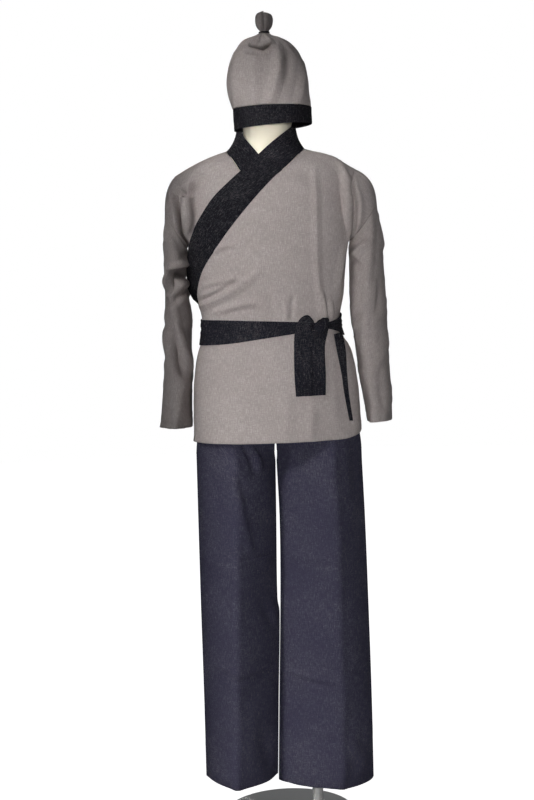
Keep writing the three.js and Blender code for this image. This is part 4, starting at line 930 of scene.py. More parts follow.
def sleeve(name, side, strokes, seed):
    """One sleeve as a ring of its front and back halves."""
    share = np.linspace(1, 0, SLEEVE_ROWS)[:, None]
    turn = np.linspace(0, 1, SLEEVE_COLUMNS + 1)[None, :]
    behind = turn[:, 1:-1][:, ::-1]
    halves = [sleeve_point(SLEEVES[side], share, turn, -1), sleeve_point(SLEEVES[side], share, behind, 1)]
    ring = np.concatenate(halves, axis=1)[:, ::side]
    round_ = (np.sin(np.concatenate([turn, behind], axis=1) * np.pi) + 0 * share)[:, ::side]
    is_front = (np.concatenate([turn + 1, -behind], axis=1) > 0)[:, ::side]
    way = level(ways(ring, ring=True), 1, (1 - smooth(round_, 0.0, 0.12)) * (share < 0.02))
    x, z = ring[..., 0], ring[..., 2]
    folds = np.where(is_front, creases(strokes, x, z), creases(strokes, x, z + 22) * 0.8)
    uneven = drift(x * 1.3, z, 70, seed) * 0.7 + drift(x + 90 * is_front, z, 30, seed + 3) * 0.4
    cuff = bell(1 - share, 0.03) * drift(x * 2, z * 0, 30, seed + 5)
    relief = folds * smooth(round_, 0.0, 0.45) + uneven + cuff
    relief *= bpy.context.scene.costume_sizes.fold_height * smooth(share, 0.0, 0.06)
    near = np.maximum(relief, -0.75 * np.abs(ring[..., 1] - SLEEVE_Y) + 0.2)
    outside = ring + way * (WALL + np.where(relief < 0, near, relief))[..., None]
    u, v = flat_lengths(closed(outside))
    u -= u[:, [SLEEVE_COLUMNS if side > 0 else u.shape[1] // 2]]
    v -= v.max(axis=0)
    return grid_object(name, outside, (u, v), ring=True), [closed(outside)]


# Collars


def neck_edge(x, z):
    """The collars' free edge round the front of the neck."""
    made = chest_point(x, z)
    share = np.clip((x - NECK_TOP["x"]) / NECK_TOP["wide"], -1, 1)
    made[..., 1] = np.minimum(made[..., 1], NECK_TOP["y"] - NECK_TOP["deep"] * np.sqrt(1 - share**2))
    return made


def standing(seam, free, width):
    """A standing band between its seam and its free edge: it turns up soon after the seam."""
    width = width + 0 * seam[..., 0]
    across = 1 - (1 - width) ** 1.5
    return lerp(seam, free, np.stack([across, across, width], axis=-1))


def collar(name, chest, neck, side, lift, seed):
    """One collar: over the chest, round the front of the neck and round its back."""
    width = np.linspace(0, 1, COLLAR_CELLS + 1)[None, :]
    line = seam_line(chest, neck, side)
    s = sewn_columns(chest["seam"][0] * side, 0.0, NECK_SHARE, size=0.009)
    a = (s * side)[:, None]
    gap = 0.3 * seam_gap(line, a)
    free, free_z = read(chest, "free", a), read(chest, "free_z", a)
    on_chest = body(lerp(a, free, width), lerp(line(a) + gap, free_z, width))
    base = body(a, line(a))
    base[..., 2] += gap
    edge = neck_edge(read(neck, "free_x", a), read(neck, "free_z", a))
    share = np.maximum((s - 0.1) / (NECK_SHARE - 0.1), 0)[:, None]
    on_neck = lerp(base, edge, width[..., None])
    on_neck = lerp(on_neck, standing(base, edge, width), smooth(share, 0.3, 1)[..., None])
    weight = smooth(s, 0.02, 0.09)[:, None]
    at_neck = lift(0.05 * side + 0 * a, width) * (1 - smooth(share, 0.45, 1))
    off = lerp(lift(a, width), at_neck, weight)
    grid = lerp(on_chest, on_neck, weight[..., None])
    start = math.acos(np.clip(side * (neck["free_x"][-1] - NECK_TOP["x"]) / NECK_TOP["wide"], -1, 1))
    turned = np.linspace(0, 1, NECK_ROWS + 1)[1:, None]
    a = NECK_SHARE * np.cos(turned * np.pi / 2)
    low = body(2 - side * a, back_neck_z(a))
    low[..., 2] += 0.3
    turn = lerp(-start, np.pi / 2, turned)
    x = NECK_TOP["x"] + side * NECK_TOP["wide"] * np.cos(turn)
    y = NECK_TOP["y"] + NECK_TOP["deep"] * np.sin(turn)
    top = np.stack([x, y, lerp(neck["free_z"][-1], NECK_TOP["back_z"], turned)], axis=-1)
    grid = np.concatenate([grid, standing(low, top, width)])[:, ::-side]
    off = np.concatenate([off, np.zeros((len(turned), COLLAR_CELLS + 1))])[:, ::-side]
    across = np.broadcast_to(width, off.shape)[:, ::-side]
    along = np.arange(len(grid))[:, None] * 3.0
    relief = 0.35 * drift(along, across * 40, 60, seed) + 0.5 * np.sin(np.pi * across) ** 0.7
    return strip_piece(name, grid + ways(grid) * (off + COLLAR_OFF + relief)[..., None])


def over_lift(a, width):
    return lerp(OVER_LIFT + 1.2 * smooth(a, -0.6, -0.3), read(COLLAR_OVER, "free_lift", a), width**1.5)


def under_lift(a, width):
    return 0.3 + 0 * width * a


# The sash


def sash_band():
    turns = np.linspace(-1, 3, 481)[:-1][None, :]
    share = np.linspace(0, 1, 27)[:, None]
    base = body(turns, lerp(read(SASH, "low", turns), read(SASH, "high", turns), share))
    angle = turns * np.pi / 2
    relief = 0 * share * turns
    for place, wide, tall, phase in SASH_FOLDS:
        line = place + 0.07 * np.sin(angle + phase) + 0.035 * np.sin(3 * angle + 2 * phase)
        strong = tall * (0.75 + 0.45 * np.sin(2 * angle + 3 * phase))
        side = (share - line) / wide
        relief = relief + strong * (bell(side, 1) - 0.5 * bell(side - 1.7, 1))
    relief += 0.35 * drift(turns * 240, share * 160, 90, 41)
    rolled = -1.0 * (1 - np.sqrt(np.clip(1 - (2 * share - 1) ** 8, 0, 1)))
    lift = read(SASH, "lift", turns) + WALL + 2.1 * bell(turns - SASH_PINCH, 0.16)
    lift = lift + np.maximum(relief * (1 + 0.3 * bell(turns - SASH_PINCH, 0.3)), -0.9) + rolled
    return ring_piece("sash", base + ways(base, ring=True) * lift[..., None])


def body_front(x, z):
    wide = np.where(x < 0, read(BODY, "right", z), read(BODY, "left", z))
    return body(np.sign(x) * np.arcsin(np.clip(x / wide, 0, 1)) / (np.pi / 2), z)


def outward(x, z):
    run = body_front(x + 4, z) - body_front(x - 4, z)
    return unit(np.stack([run[..., 1], -run[..., 0], 0 * run[..., 0]], axis=-1))


def sash_tail(name, table, extra, under, seed):
    """A free end of the sash. Its inner edge is tucked in by under."""
    share = np.linspace(1, 0, TAIL_ROWS)[:, None]
    width = np.linspace(-0.5, 0.5, TAIL_COLUMNS + 1)[None, :]
    turn = np.radians(read_share(table, "turn", share))
    wide = read_share(table, "width", share)
    x = read_share(table, "x", share) + width * wide * np.cos(turn)
    z = read_share(table, "z", share) + width * wide * np.sin(turn)
    around = np.arcsin(np.clip(x / read(BODY, "left", z), 0, 1)) / (np.pi / 2)
    pleat = 2.2 * (0.5 - 0.5 * np.cos(width * 3 * np.pi))
    soft = 0.7 * drift(width * 34, share * 70, 34, seed) + 0.8 * bell(width - 0.11, 0.05)
    soft = (soft - 0.7 * bell(width + 0.2, 0.05)) * smooth(wide, 8, 22)
    off = outer_lift(around, z) + 2 * WALL + TAIL_LIFT + pleat + extra(share) + np.maximum(soft, -1.1)
    off = off - under * smooth(share, 0.08, 0.2) * (1 - smooth(width, -0.35, 0.05))
    x = x - under * 2.4 * (0.5 - width) * smooth(share, 0.02, 0.2)
    return strip_piece(name, body_front(x, z) + outward(x, z) * off[..., None])


def sash_knot():
    """The knot's lump and the band wrapped round it."""
    x, z = np.array(KNOT["x"]), np.array(KNOT["z"])
    out, up = outward(x, z), np.array([0, 0, 1.0])
    along = np.cross(up, out)
    centre = body_front(x, z) + out * KNOT["off"]

    def place(side, front, rise):
        return centre + along * side[..., None] + out * front[..., None] + up * rise[..., None]

    tilt = np.radians(np.linspace(-88, 88, 64))[:, None]
    angle = np.linspace(0, 2 * np.pi, 97)[:-1][None, :]
    high, round_ = np.sin(tilt), np.cos(tilt)
    pleats = 0.045 * np.sin(5 * angle + 4 * high) + 0.03 * np.sin(9 * angle - 6 * high)
    dent = 0.14 * bell(angle - 4.1 + 0.9 * high, 0.32)
    size = 1 + 0.07 * np.cos(3 * angle + 2 * high) + pleats * round_ - dent
    rise = KNOT["tall"] * (high + 0.05 * np.sin(2 * angle) * round_)
    size = size * round_
    lump = place(KNOT["wide"] * size * np.cos(angle), -KNOT["deep"] * size * np.sin(angle), rise)
    around = np.radians(np.linspace(-104, 104, 90))[:, None]
    across = np.linspace(-1, 1, 25)[None, :]
    lean = 7 * np.sin(around) + 1.5
    half = 9.5 - 2.2 * np.cos(around) ** 2
    reach = 2.6 * np.sqrt(np.clip(1 - across**2, 0, 1)) + 0.7 * np.cos(7 * across + 1.5 * around) + 0.4
    front = (KNOT["deep"] * (1 - 0.16 * across**2) + reach) * np.cos(around)
    band = place(lean + half * across, front, (KNOT["tall"] * 0.98 + reach) * np.sin(around))
    return ring_piece("sash_knot_lump", lump)[0], strip_piece("sash_knot_wrap", band)[0]


# Trousers


def leg_point(table, z, share, face):
    turn = np.cos(share * np.pi)
    edge = np.where(turn > 0, read(table, "inner", z), read(table, "outer", z))
    away = np.abs(turn)
    x = lerp(read(table, "crease", z), edge, away)
    depth = read(table, "front" if face < 0 else "back", z)
    y = face * depth * np.maximum(1 - away**CREASE_SHARP, 0) ** CREASE_ROUND
    return np.stack([x, y, z + 0 * x], axis=-1)


def trouser_panel(name, table, side, face):
    seed = 70 + 5 * side + face
    hem = table["z"][0]
    rows_up = [np.linspace(hem, CROTCH_Z, LEG_ROWS)[:-1], np.linspace(CROTCH_Z, TROUSER_TOP_Z, HIP_ROWS)]
    heights = np.concatenate(rows_up)[:, None]
    share = np.linspace(0, 1, LEG_COLUMNS)[None, :]
    share = lerp(share, (1 - np.cos(share * np.pi)) / 2, 0.25)
    leg = leg_point(table, np.minimum(heights, CROTCH_Z), share, face)
    leg[..., 2] = heights
    x, y = ring_place(HIPS, side * share, face > 0, np.maximum(heights, CROTCH_Z))
    hip = np.stack([x, y, np.maximum(heights, CROTCH_Z) + 0 * x], axis=-1)
    turned = -side * face
    grid = lerp(leg, hip, smooth(heights, CROTCH_Z, CROTCH_Z + RISE)[..., None])[:, ::turned]
    edge = (share + 0 * heights)[:, ::turned]
    way = level(ways(grid), 1, np.clip((edge - 0.9) / 0.1, 0, 1))
    inner = np.clip((0.1 - edge) / 0.1, 0, 1)
    way = level(way, 1, inner * (heights <= CROTCH_Z))
    way = level(way, 0, inner * (heights > CROTCH_Z))
    x, z = grid[..., 0], grid[..., 2]
    if face < 0:
        puckers = creases(TROUSER_CREASES, x, z)
    else:
        puckers = creases(TROUSER_CREASES, -x * 1.03 + 6, z + 14)
    uneven = drift(x, z * 0.7, 100, seed) * 0.9 + drift(x + 40 * face, z, 44, seed + 7) * 0.35
    hem_wave = 1.2 * bell(z - hem, 12) * drift(x, z * 0, 70, seed + 9)
    pressed = 3.2 * np.maximum(1 - np.abs(x - read(table, "crease", np.minimum(z, CROTCH_Z))) / 14, 0)
    pressed = pressed * (0.75 + 0.25 * np.clip(drift(z, x * 0, 160, seed + 4), -1, 1))
    seam = smooth(edge, 0, 0.12) * (1 - smooth(edge, 0.88, 1)) * (1 - smooth(z, 905, 960))
    relief = np.maximum(puckers + uneven + hem_wave + pressed, -4) * seam
    relief *= bpy.context.scene.costume_sizes.fold_height
    outside = grid + way * (WALL + relief)[..., None]
    u, v = flat_lengths(outside)
    u -= u[:, [u.shape[1] // 2]]
    return grid_object(name, outside, (u, v)), [outside]


def trouser_waistband():
    turns = np.linspace(-1, 3, 181)[:-1]
    a = np.where(turns > 1, 2 - turns, turns)
    heights = np.linspace(TROUSER_TOP_Z + 0.3, TROUSER_TOP_Z + 38, 9)[:, None] + 0 * a
    ring = np.stack([*ring_place(HIPS, a, turns > 1, heights), heights], axis=-1)
    return ring_piece("waistband", ring + ways(ring, ring=True) * WALL)


# The cap


def circle(count):
    """Angles round a ring, from the wearer's left on over the back."""
    return np.linspace(0, 2 * np.pi, count + 1)[:-1]


def cap_ring(turn, z):
    left, right = read(CAP, "left", z), read(CAP, "right", z)
    deep = np.where(np.sin(turn) < 0, read(CAP, "front", z), read(CAP, "back", z))
    x = (left + right) / 2 + (left - right) / 2 * np.cos(turn)
    return np.stack([x, deep * np.sin(turn), z + 0 * x], axis=-1)


def cap_crown():
    turn = circle(240)[None, :]
    z = np.concatenate([np.linspace(CAP_FOOT, 1745, 40)[:-1], np.linspace(1745, 1816, 62)])[:, None]
    base = cap_ring(turn, z)
    gather = smooth(z, 1745, 1795) * (1 - smooth(z, 1802, 1815))
    front = smooth(-base[..., 1], -10, 25)
    fold = creases(CAP_CREASES, base[..., 0], z) * front
    fold = fold + creases(CAP_CREASES, -base[..., 0] + 12, z) * (1 - front) * 0.5
    off = fold * (1 - smooth(z, 1806, 1815)) + CAP_GATHER_DEPTH * gather * np.cos(CAP_GATHERS * turn)
    fine = smooth(z, 1752, 1800) * (1 - smooth(z, 1811, 1816))
    off = off + 1.1 * fine * np.sin(23 * turn + 1.5 * np.sin(3 * turn))
    off = off + 0.6 * drift(turn * 90, z, 60, 51) * smooth(z, 1655, 1680) * (1 - smooth(z, 1800, 1814))
    made = base + np.stack([np.cos(turn), np.sin(turn), 0 * turn], axis=-1) * off[..., None]
    ends = np.maximum(1 - (z - CAP_FOOT) / 13, (z - 1809) / 7)
    way = level(ways(made, ring=True), 2, np.clip(ends, 0, 1) + 0 * turn)
    return ring_piece("cap", made + way * WALL, pin=0)


def cap_band():
    turn = circle(240)[None, :]
    share = np.linspace(0, 1, 16)[:, None]
    ring = cap_ring(turn, np.array([[CAP_FOOT]])) + 0 * share[..., None]
    ring[..., 2] = lerp(1605.5 + 0.057 * (ring[..., 0] - 18), CAP_FOOT - 0.4, share)
    relief = 2.6 + 0.5 * drift(turn * 90, share * 43, 50, 61) + 0.35 * np.sin(np.pi * share)
    out = np.stack([np.cos(turn), np.sin(turn), 0 * turn], axis=-1)
    return ring_piece("cap_band_cloth", ring + out * relief[..., None])


def cap_topknot():
    turn = circle(120)[None, :]
    z = np.concatenate([np.linspace(1816.4, 1858, 46), [1860, 1861.5, 1862.6, 1863.2, 1863.4]])[:, None]
    radius = read(TOPKNOT, "radius", np.minimum(z, 1862))
    radius[-3:, 0] = 5.5, 2.6, 0.4
    pleats = 1 + 0.08 * np.cos(6 * turn) * smooth(radius, 8, 14)
    small = 0.035 * np.sin(13 * turn + 0.05 * (z - 1830)) + 0.03 * np.sin(9 * turn)
    reach = radius * (pleats + small * smooth(radius, 5, 9))
    corner = smooth(z, 1846, 1852) * 3 * np.maximum(np.cos(turn - 2.8), 0) ** 4
    x, y = 7 + np.cos(turn) * reach, np.sin(turn) * reach
    return ring_piece("topknot", np.stack([x, y, z + corner], -1), pin=20)


def cap_tie():
    """The tie: a cord in turns round the gathered top."""
    turn = np.linspace(0, 2 * np.pi * TIE["turns"], 190)
    x, y = TIE["x"] + TIE["reach"] * np.cos(turn - 1.7), TIE["reach"] * np.sin(turn - 1.7)
    line = np.stack([x, y, TIE["z"] + TIE["rise"] * turn / turn[-1]], axis=-1)
    along = np.gradient(line, axis=0)
    along /= np.linalg.norm(along, axis=1, keepdims=True)
    first = unit(np.cross(along, [0, 0, 1.0]))
    second = np.cross(first, along)
    angle = circle(10)[None, :, None]
    round_ = first[:, None] * np.cos(angle) + second[:, None] * np.sin(angle)
    return ring_piece("cap_tie_cord", line[:, None] + TIE["thick"] / 2 * round_)[0]


# The dress form


def form_ring(z, turns):
    a = np.where(turns > 1, 2 - turns, turns)
    chest = body(turns, z, lerp(6, 2.4, smooth(z, 1160, 1345)), 0)
    hip = np.stack([*ring_place(HIPS, a, turns > 1, np.minimum(z, HIPS["z"][-1])), z], -1)
    hip[:, :2] *= FORM_TAPER
    return lerp(hip, chest, smooth(z, FORM_HIP, 1190)[:, None])


def dress_form():
    turns = np.concatenate([np.linspace(-1, 1, 61), np.linspace(1, 3, 61)[1:-1]])
    levels = np.concatenate([np.linspace(FORM_LOW, FORM_HIP, 20), np.linspace(FORM_HIP, ARMPIT_Z, 30)[1:]])
    rings = [form_ring(z + 0 * turns, turns) for z in levels]
    ridge = ridge_z(np.where(turns > 1, 2 - turns, turns)) - 3.6
    rings += [form_ring(lerp(ARMPIT_Z, ridge, rise), turns) for rise in np.linspace(0, 1, 24)[1:-1]]
    torso = grid_object("form", np.stack(rings), ring=True, capped=True)
    angle = circle(72)
    levels = np.concatenate([np.linspace(1500, 1790, 60), np.linspace(1790, 1808.6, 16)[1:]])
    rings = []
    for z in levels:
        x, wide, deep = (read(FORM_NECK, name, z) for name in ("x", "wide", "deep"))
        rings.append(np.stack([x + wide * np.cos(angle), 4 + deep * np.sin(angle), z + 0 * angle], -1))
    neck = grid_object("form_neck_part", np.stack(rings), ring=True, capped=True)
    modifier(torso, "BOOLEAN", object=neck, operation="UNION")
    modifier(torso, "REMESH", mode="VOXEL", voxel_size=FORM_VOXEL)
    modifier(torso, "SMOOTH", factor=0.5, iterations=6)
    apply_all(torso)
    bpy.data.objects.remove(neck)
    return torso


def disc_stack(name, profile, centre, sides=96):
    """A turned solid from a profile of radii and heights in millimetres."""
    angle = circle(sides)
    x, y = np.cos(angle), np.sin(angle)
    rings = [np.stack([centre[0] + r * x, centre[1] + r * y, z + 0 * angle], -1) for r, z in profile]
    made = grid_object(name, np.stack(rings), ring=True, capped=True)
    shade_smooth(made.data)
    modifier(made, "BEVEL", width=0.0008, segments=3, angle_limit=math.radians(40))
    apply_all(made)
    return made


# Stitches

LINES = {}


def keep_line(kind, line):
    """Remembers a line on the cloth for the stitches."""
    LINES.setdefault(kind, []).append(line)


def keep_level(kind, grid, height, lift, column=0):
    """Remembers the row of a grid that is nearest a height."""
    row = int(np.argmin(np.abs(grid[:, column, 2] - height)))
    keep_line(kind, grid[row] + ways(grid)[row] * lift)


def stitch_tree(material, stitch):
    """A node tree that lays a stitch every so often along the edges of a mesh line."""
    tree = bpy.data.node_groups.new("stitches", "GeometryNodeTree")
    tree.interface.new_socket("Line", in_out="INPUT", socket_type="NodeSocketGeometry")
    pitch = tree.interface.new_socket("Pitch", in_out="INPUT", socket_type="NodeSocketFloat")
    tree.interface.new_socket("Geometry", in_out="OUTPUT", socket_type="NodeSocketGeometry")
    start, end = node(tree, "NodeGroupInput"), node(tree, "NodeGroupOutput")
    curve = node(tree, "GeometryNodeMeshToCurve")
    even = node(tree, "GeometryNodeResampleCurve", mode="LENGTH")
    tangent = node(tree, "GeometryNodeInputTangent")
    turn = node(tree, "FunctionNodeAlignRotationToVector", axis="X")
    place = node(tree, "GeometryNodeInstanceOnPoints")
    source = node(tree, "GeometryNodeObjectInfo", Object=stitch)
    sway = node(tree, "FunctionNodeRandomValue", data_type="FLOAT_VECTOR", Seed=7)
    set_values(sway, {"Min": (0.85, 0.85, 0.85), "Max": (1.12, 1.1, 1.1)})
    real = node(tree, "GeometryNodeRealizeInstances")
    paint = node(tree, "GeometryNodeSetMaterial", Material=material)
    join(
        tree,
        (start, "Line", curve, "Mesh"),
        (curve, "Curve", even, "Curve"),
        (start, "Pitch", even, "Length"),
        (even, "Curve", place, "Points"),
        (source, "Geometry", place, "Instance"),
        (tangent, "Tangent", turn, "Vector"),
        (turn, "Rotation", place, "Rotation"),
        (sway, "Value", place, "Scale"),
        (place, "Instances", real, "Geometry"),
        (real, "Geometry", paint, "Geometry"),
        (paint, "Geometry", end, "Geometry"),
    )
    return tree, pitch.identifier


def stitches(name, lines, slot):
    """Rows of stitches along lines of points in millimetres, as one piece."""
    angle = circle(6)
    rings = []
    for along, radius in STITCH:
        rings.append(np.stack([along + 0 * angle, radius * np.cos(angle), radius * np.sin(angle)], -1))
    stitch = grid_object("stitch", np.stack(rings) - ORIGIN, ring=True, capped=True)
    edges, start = [], 0
    for line in lines:
        edges += [[start + i, start + i + 1] for i in range(len(line) - 1)]
        start += len(line)
    mesh = bpy.data.meshes.new(name)
    mesh.from_pydata(((np.concatenate(lines) + ORIGIN) * MM).tolist(), edges, [])
    made = new_object(name, mesh)
    tree, pitch = stitch_tree(finish_of(slot), stitch)
    modifier(made, "NODES", node_group=tree)[pitch] = bpy.context.scene.costume_sizes.stitch
    apply_all(made)
    bpy.data.objects.remove(stitch)
    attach(made, "root")


# Operators


class COSTUME_OT_camera(Operator):
    """Places the camera as the photo has it"""

    bl_idname = "costume.camera"
    bl_label = "Camera"

    def execute(self, context):
        stage = context.scene.costume_stage
        data = bpy.data.cameras.new("camera")
        data.lens = stage.lens
        data.sensor_width = 36
        data.sensor_fit = "AUTO"
        data.clip_end = 100
        camera = new_object("camera", data)
        pitch, roll = math.radians(CAMERA_PITCH), math.radians(CAMERA_ROLL)
        right = Vector((1, 0, 0))
        up = Vector((0, math.sin(pitch), math.cos(pitch)))
        back = Vector((0, -math.cos(pitch), math.sin(pitch)))
        turned_right = right * math.cos(roll) - up * math.sin(roll)
        turned_up = right * math.sin(roll) + up * math.cos(roll)
        axes = Matrix((turned_right, turned_up, back)).transposed().to_4x4()
        camera.matrix_world = Matrix.Translation((CAMERA_X, -stage.distance, stage.height)) @ axes
        context.scene.camera = camera
        return {"FINISHED"}


class COSTUME_OT_form(Operator):
    """Makes the dress form with its pole and base plate"""

    bl_idname = "costume.form"
    bl_label = "Dress form"

    def execute(self, context):
        finish_piece(dress_form(), "form_cover", "form_torso")
        pole = disc_stack("pole", POLE, (72, 0))
        finish_piece(pole, "form_steel", "form_pole")
        base = disc_stack("base_plate", PLATE, (4, 0), 160)
        finish_piece(base, "form_steel", "form_base")
        return {"FINISHED"}


class COSTUME_OT_trousers(Operator):
    """Makes the trousers: four leg panels and the waistband"""

    bl_idname = "costume.trousers"
    bl_label = "Trousers"

    def execute(self, context):
        cloth = context.scene.costume_sizes.cloth
        for side, table, word in ((1, LEG_LEFT, "left"), (-1, LEG_RIGHT, "right")):
            for face, end in ((-1, "front"), (1, "back")):
                piece = trouser_panel(f"leg_{end}_{word}", table, side, face)
                grid = sew(piece, "navy_twill", f"trousers_{end}_{word}", cloth, "hung", "waistband")
                keep_level("navy", grid, grid[0, 0, 2] + TROUSER_HEM, 0.05)
        sew(trouser_waistband(), "navy_twill", "trousers_waistband", cloth, "stretched", "form")
        return {"FINISHED"}


class COSTUME_OT_jacket(Operator):
    """Makes the jacket's body: two fronts and the back"""

    bl_idname = "costume.jacket"
    bl_label = "Jacket body"

    def execute(self, context):
        sizes = context.scene.costume_sizes
        for piece in jacket_body():
            name = piece[0].name
            low = sew(piece, "grey_linen", f"jacket_{name}", sizes.cloth, "hung", "form")
            if name != "front_right":
                keep_level("grey", low, HEM_Z + sizes.hem / MM, 0.1, len(low[0]) // 2)
        return {"FINISHED"}


class COSTUME_OT_sleeves(Operator):
    """Makes the two sleeves"""

    bl_idname = "costume.sleeves"
    bl_label = "Sleeves"

    def execute(self, context):
        cloth = context.scene.costume_sizes.cloth
        for name, side, strokes, seed in (
            ("sleeve_left", 1, SLEEVE_LEFT_CREASES, 101),
            ("sleeve_right", -1, SLEEVE_RIGHT_CREASES, 111),
        ):
            piece = sleeve(name, side, strokes, seed)
            grid = sew(piece, "grey_linen", f"jacket_{name}", cloth, "hung", "back")
            keep_level("grey", grid, CUFF_Z + CUFF_HEM, 0.1)
        return {"FINISHED"}


class COSTUME_OT_collars(Operator):
    """Makes the folded collar bands, the left one over the right one"""

    bl_idname = "costume.collars"
    bl_label = "Collars"

    def execute(self, context):
        band = context.scene.costume_sizes.band
        for name, chest, neck, side, lift, seed in (
            ("collar_left", COLLAR_OVER, NECK_OVER, 1, over_lift, 121),
            ("collar_right", COLLAR_UNDER, NECK_UNDER, -1, under_lift, 131),
        ):
            piece = collar(name, chest, neck, side, lift, seed)
            grid = sew(piece, "black_cotton", f"jacket_{name}", band, "folded", "form", rim=BAND_RIM)
            seam = -2 if side > 0 else 1
            keep_line("black", grid[:, seam] + ways(grid)[:, seam] * 0.05)
        return {"FINISHED"}


class COSTUME_OT_sash(Operator):
    """Makes the sash, its knot and its three free ends"""

    bl_idname = "costume.sash"
    bl_label = "Sash"

    def execute(self, context):
        cloth = context.scene.costume_sizes.cloth
        sew(sash_band(), "sash_cotton", "sash_band", cloth, "gathered", "front_left", "back")
        for name, table, extra, under, seed in (
            ("tail_front", TAIL_FRONT, lambda share: 6 * (1 - smooth(share, 0.45, 0.62)), 0, 141),
            ("tail_middle", TAIL_MIDDLE, lambda share: 13 * (1 - smooth(share, 0, 0.35)), 2.9, 151),
            ("tail_side", TAIL_SIDE, lambda share: 0 * share, 0, 161),
        ):
            piece = sash_tail(name, table, extra, under, seed)
            sew(piece, "sash_cotton", f"sash_{name}", cloth, "hung", "sash")
        lump, wrap = sash_knot()
        thicken(wrap, cloth)
        finish_piece(lump, "sash_cotton", "sash_knot")
        finish_piece(wrap, "sash_cotton")
        return {"FINISHED"}


class COSTUME_OT_cap(Operator):
    """Makes the cap: crown, band, topknot and tie"""

    bl_idname = "costume.cap"
    bl_label = "Cap"

    def execute(self, context):
        sizes = context.scene.costume_sizes
        sew(cap_crown(), "grey_linen", "cap_crown", sizes.cloth, "gathered", "form")
        grid = sew(cap_band(), "black_cotton", "cap_band", sizes.band, "stretched", "cap", rim=BAND_RIM)
        keep_line("black", grid[2] + (grid[2] - grid[2].mean(axis=0)) * 0.001)
        finish_piece(cap_topknot()[0], "grey_linen", "cap_topknot")
        finish_piece(cap_tie(), "black_cotton", "cap_tie")
        return {"FINISHED"}


class COSTUME_OT_stitches(Operator):
    """Lays the stitches along the hems, cuffs, collars and cap band"""

    bl_idname = "costume.stitches"
    bl_label = "Stitches"

    def execute(self, context):
        for kind, slot in (("grey", "grey_linen"), ("black", "black_cotton"), ("navy", "navy_twill")):
            if kind in LINES:
                stitches(f"stitches_{kind}", LINES[kind], slot)
        return {"FINISHED"}


def area_light(name, place, aim, size, watts, colour=(1, 1, 1), spread=180):
    data = bpy.data.lights.new(name, "AREA")
    data.shape = "RECTANGLE"
    data.size, data.size_y = size
    data.spread = math.radians(spread)
    data.energy = watts
    data.color = colour
    made = new_object(name, data)
    made.location = place
    made.rotation_euler = (Vector(aim) - Vector(place)).to_track_quat("-Z", "Y").to_euler()


def white_floor(colour):
    """The floor: it glows to the camera only, so that it is as white as the photo's ground."""
    angle = circle(64)
    mesh = bpy.data.meshes.new("floor")
    mesh.from_pydata([(7 * math.cos(t), 7 * math.sin(t), 0) for t in angle], [], [list(range(64))])
    paper, tree, shader = new_material("paper", Base_Color=(*colour, 1), Roughness=0.9)
    glow = node(tree, "ShaderNodeEmission", Strength=1.0)
    both, seen = node(tree, "ShaderNodeAddShader"), node(tree, "ShaderNodeMixShader")
    join(
        tree,
        (shader, 0, both, 0),
        (glow, 0, both, 1),
        (node(tree, "ShaderNodeLightPath"), "Is Camera Ray", seen, 0),
        (shader, 0, seen, 1),
        (both, 0, seen, 2),
        (seen, 0, tree.nodes["Material Output"], "Surface"),
    )
    mesh.materials.append(paper)
    return new_object("floor", mesh)


def white_world():
    """Surroundings that are white to the camera and give a weak cool light."""
    world = bpy.data.worlds.new("surroundings")
    world.use_nodes = True
    tree = world.node_tree
    tree.nodes.clear()
    seen = node(tree, "ShaderNodeBackground", Color=(1, 1, 1, 1))
    lit = node(tree, "ShaderNodeBackground", Color=(0.95, 0.97, 1, 1), Strength=0.1)
    mix = node(tree, "ShaderNodeMixShader")
    join(
        tree,
        (node(tree, "ShaderNodeLightPath"), "Is Camera Ray", mix, 0),
        (lit, 0, mix, 1),
        (seen, 0, mix, 2),
        (mix, 0, node(tree, "ShaderNodeOutputWorld"), "Surface"),
    )
    return world


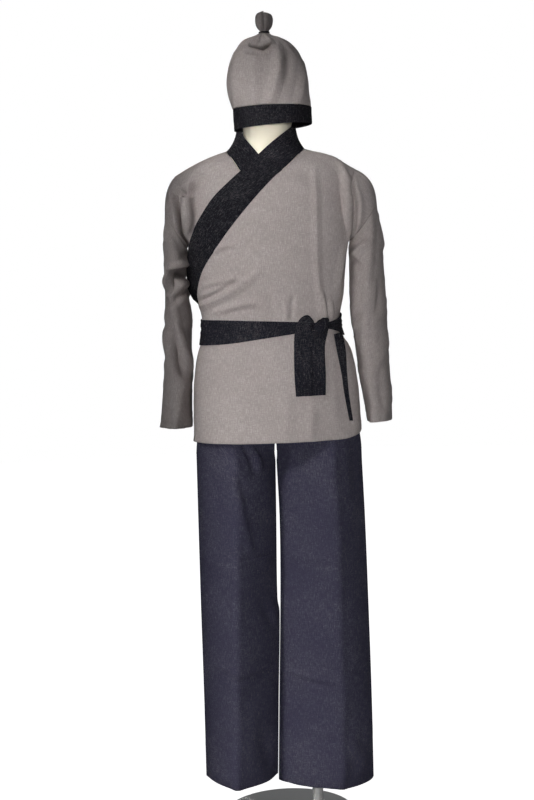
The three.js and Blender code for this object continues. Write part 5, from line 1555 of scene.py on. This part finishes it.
class COSTUME_OT_stage(Operator):
    """Sets the floor, the white surroundings and the lights"""

    bl_idname = "costume.stage"
    bl_label = "Stage"

    def execute(self, context):
        scene, stage = context.scene, context.scene.costume_stage
        white_floor(stage.floor)
        warm = (1, 0.985, 0.97)
        area_light("key", (-0.2, -3.3, 0.76), (0.045, 0, 0.84), (0.42, 1.75), stage.key, warm, 3)
        area_light("side", (-2.2, -2.2, 2.8), (0.03, 0, 0.8), (0.3, 1.7), stage.side, warm, 3)
        area_light("fill", (-1.6, -2.6, 2.6), (0, 0, 1.0), (1.4, 1.4), stage.fill, warm)
        area_light("back", (0.6, 3.2, 2.8), (0, 0, 0.7), (1.8, 1.8), stage.back)
        area_light("neck", (0.1, -2.6, 1.25), (-0.01, -0.05, 1.575), (0.06, 0.06), stage.neck, warm, 3)
        scene.world = white_world()
        scene.view_settings.view_transform = "Standard"
        scene.view_settings.look = "None"
        return {"FINISHED"}


class COSTUME_PT_panel(Panel):
    """Sizes, colours and steps of the costume"""

    bl_label = "Hanfu costume"
    bl_idname = "COSTUME_PT_panel"
    bl_space_type = "VIEW_3D"
    bl_region_type = "UI"
    bl_category = "Hanfu"

    def draw(self, context):
        layout, scene = self.layout, context.scene
        for group in (scene.costume_sizes, scene.costume_colours, scene.costume_stage):
            box = layout.box()
            for name in group.bl_rna.properties.keys():
                if name not in {"rna_type", "name"}:
                    box.prop(group, name)
        for step in STEPS:
            layout.operator(step.bl_idname, text=step.bl_label)


STEPS = (
    COSTUME_OT_camera,
    COSTUME_OT_form,
    COSTUME_OT_trousers,
    COSTUME_OT_jacket,
    COSTUME_OT_sleeves,
    COSTUME_OT_collars,
    COSTUME_OT_sash,
    COSTUME_OT_cap,
    COSTUME_OT_stitches,
    COSTUME_OT_stage,
)
CLASSES = (CostumeColours, CostumeSizes, CostumeStage, *STEPS, COSTUME_PT_panel)


def register():
    for made in CLASSES:
        bpy.utils.register_class(made)
    bpy.types.Scene.costume_colours = PointerProperty(type=CostumeColours)
    bpy.types.Scene.costume_sizes = PointerProperty(type=CostumeSizes)
    bpy.types.Scene.costume_stage = PointerProperty(type=CostumeStage)


def unregister():
    del bpy.types.Scene.costume_stage
    del bpy.types.Scene.costume_sizes
    del bpy.types.Scene.costume_colours
    for made in reversed(CLASSES):
        bpy.utils.unregister_class(made)


def main():
    register()
    bpy.ops.costume.camera()
    bpy.ops.costume.form()
    bpy.ops.costume.trousers()
    bpy.ops.costume.jacket()
    bpy.ops.costume.sleeves()
    bpy.ops.costume.collars()
    bpy.ops.costume.sash()
    bpy.ops.costume.cap()
    bpy.ops.costume.stitches()
    bpy.ops.costume.stage()
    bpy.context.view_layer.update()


if __name__ == "__main__":
    main()
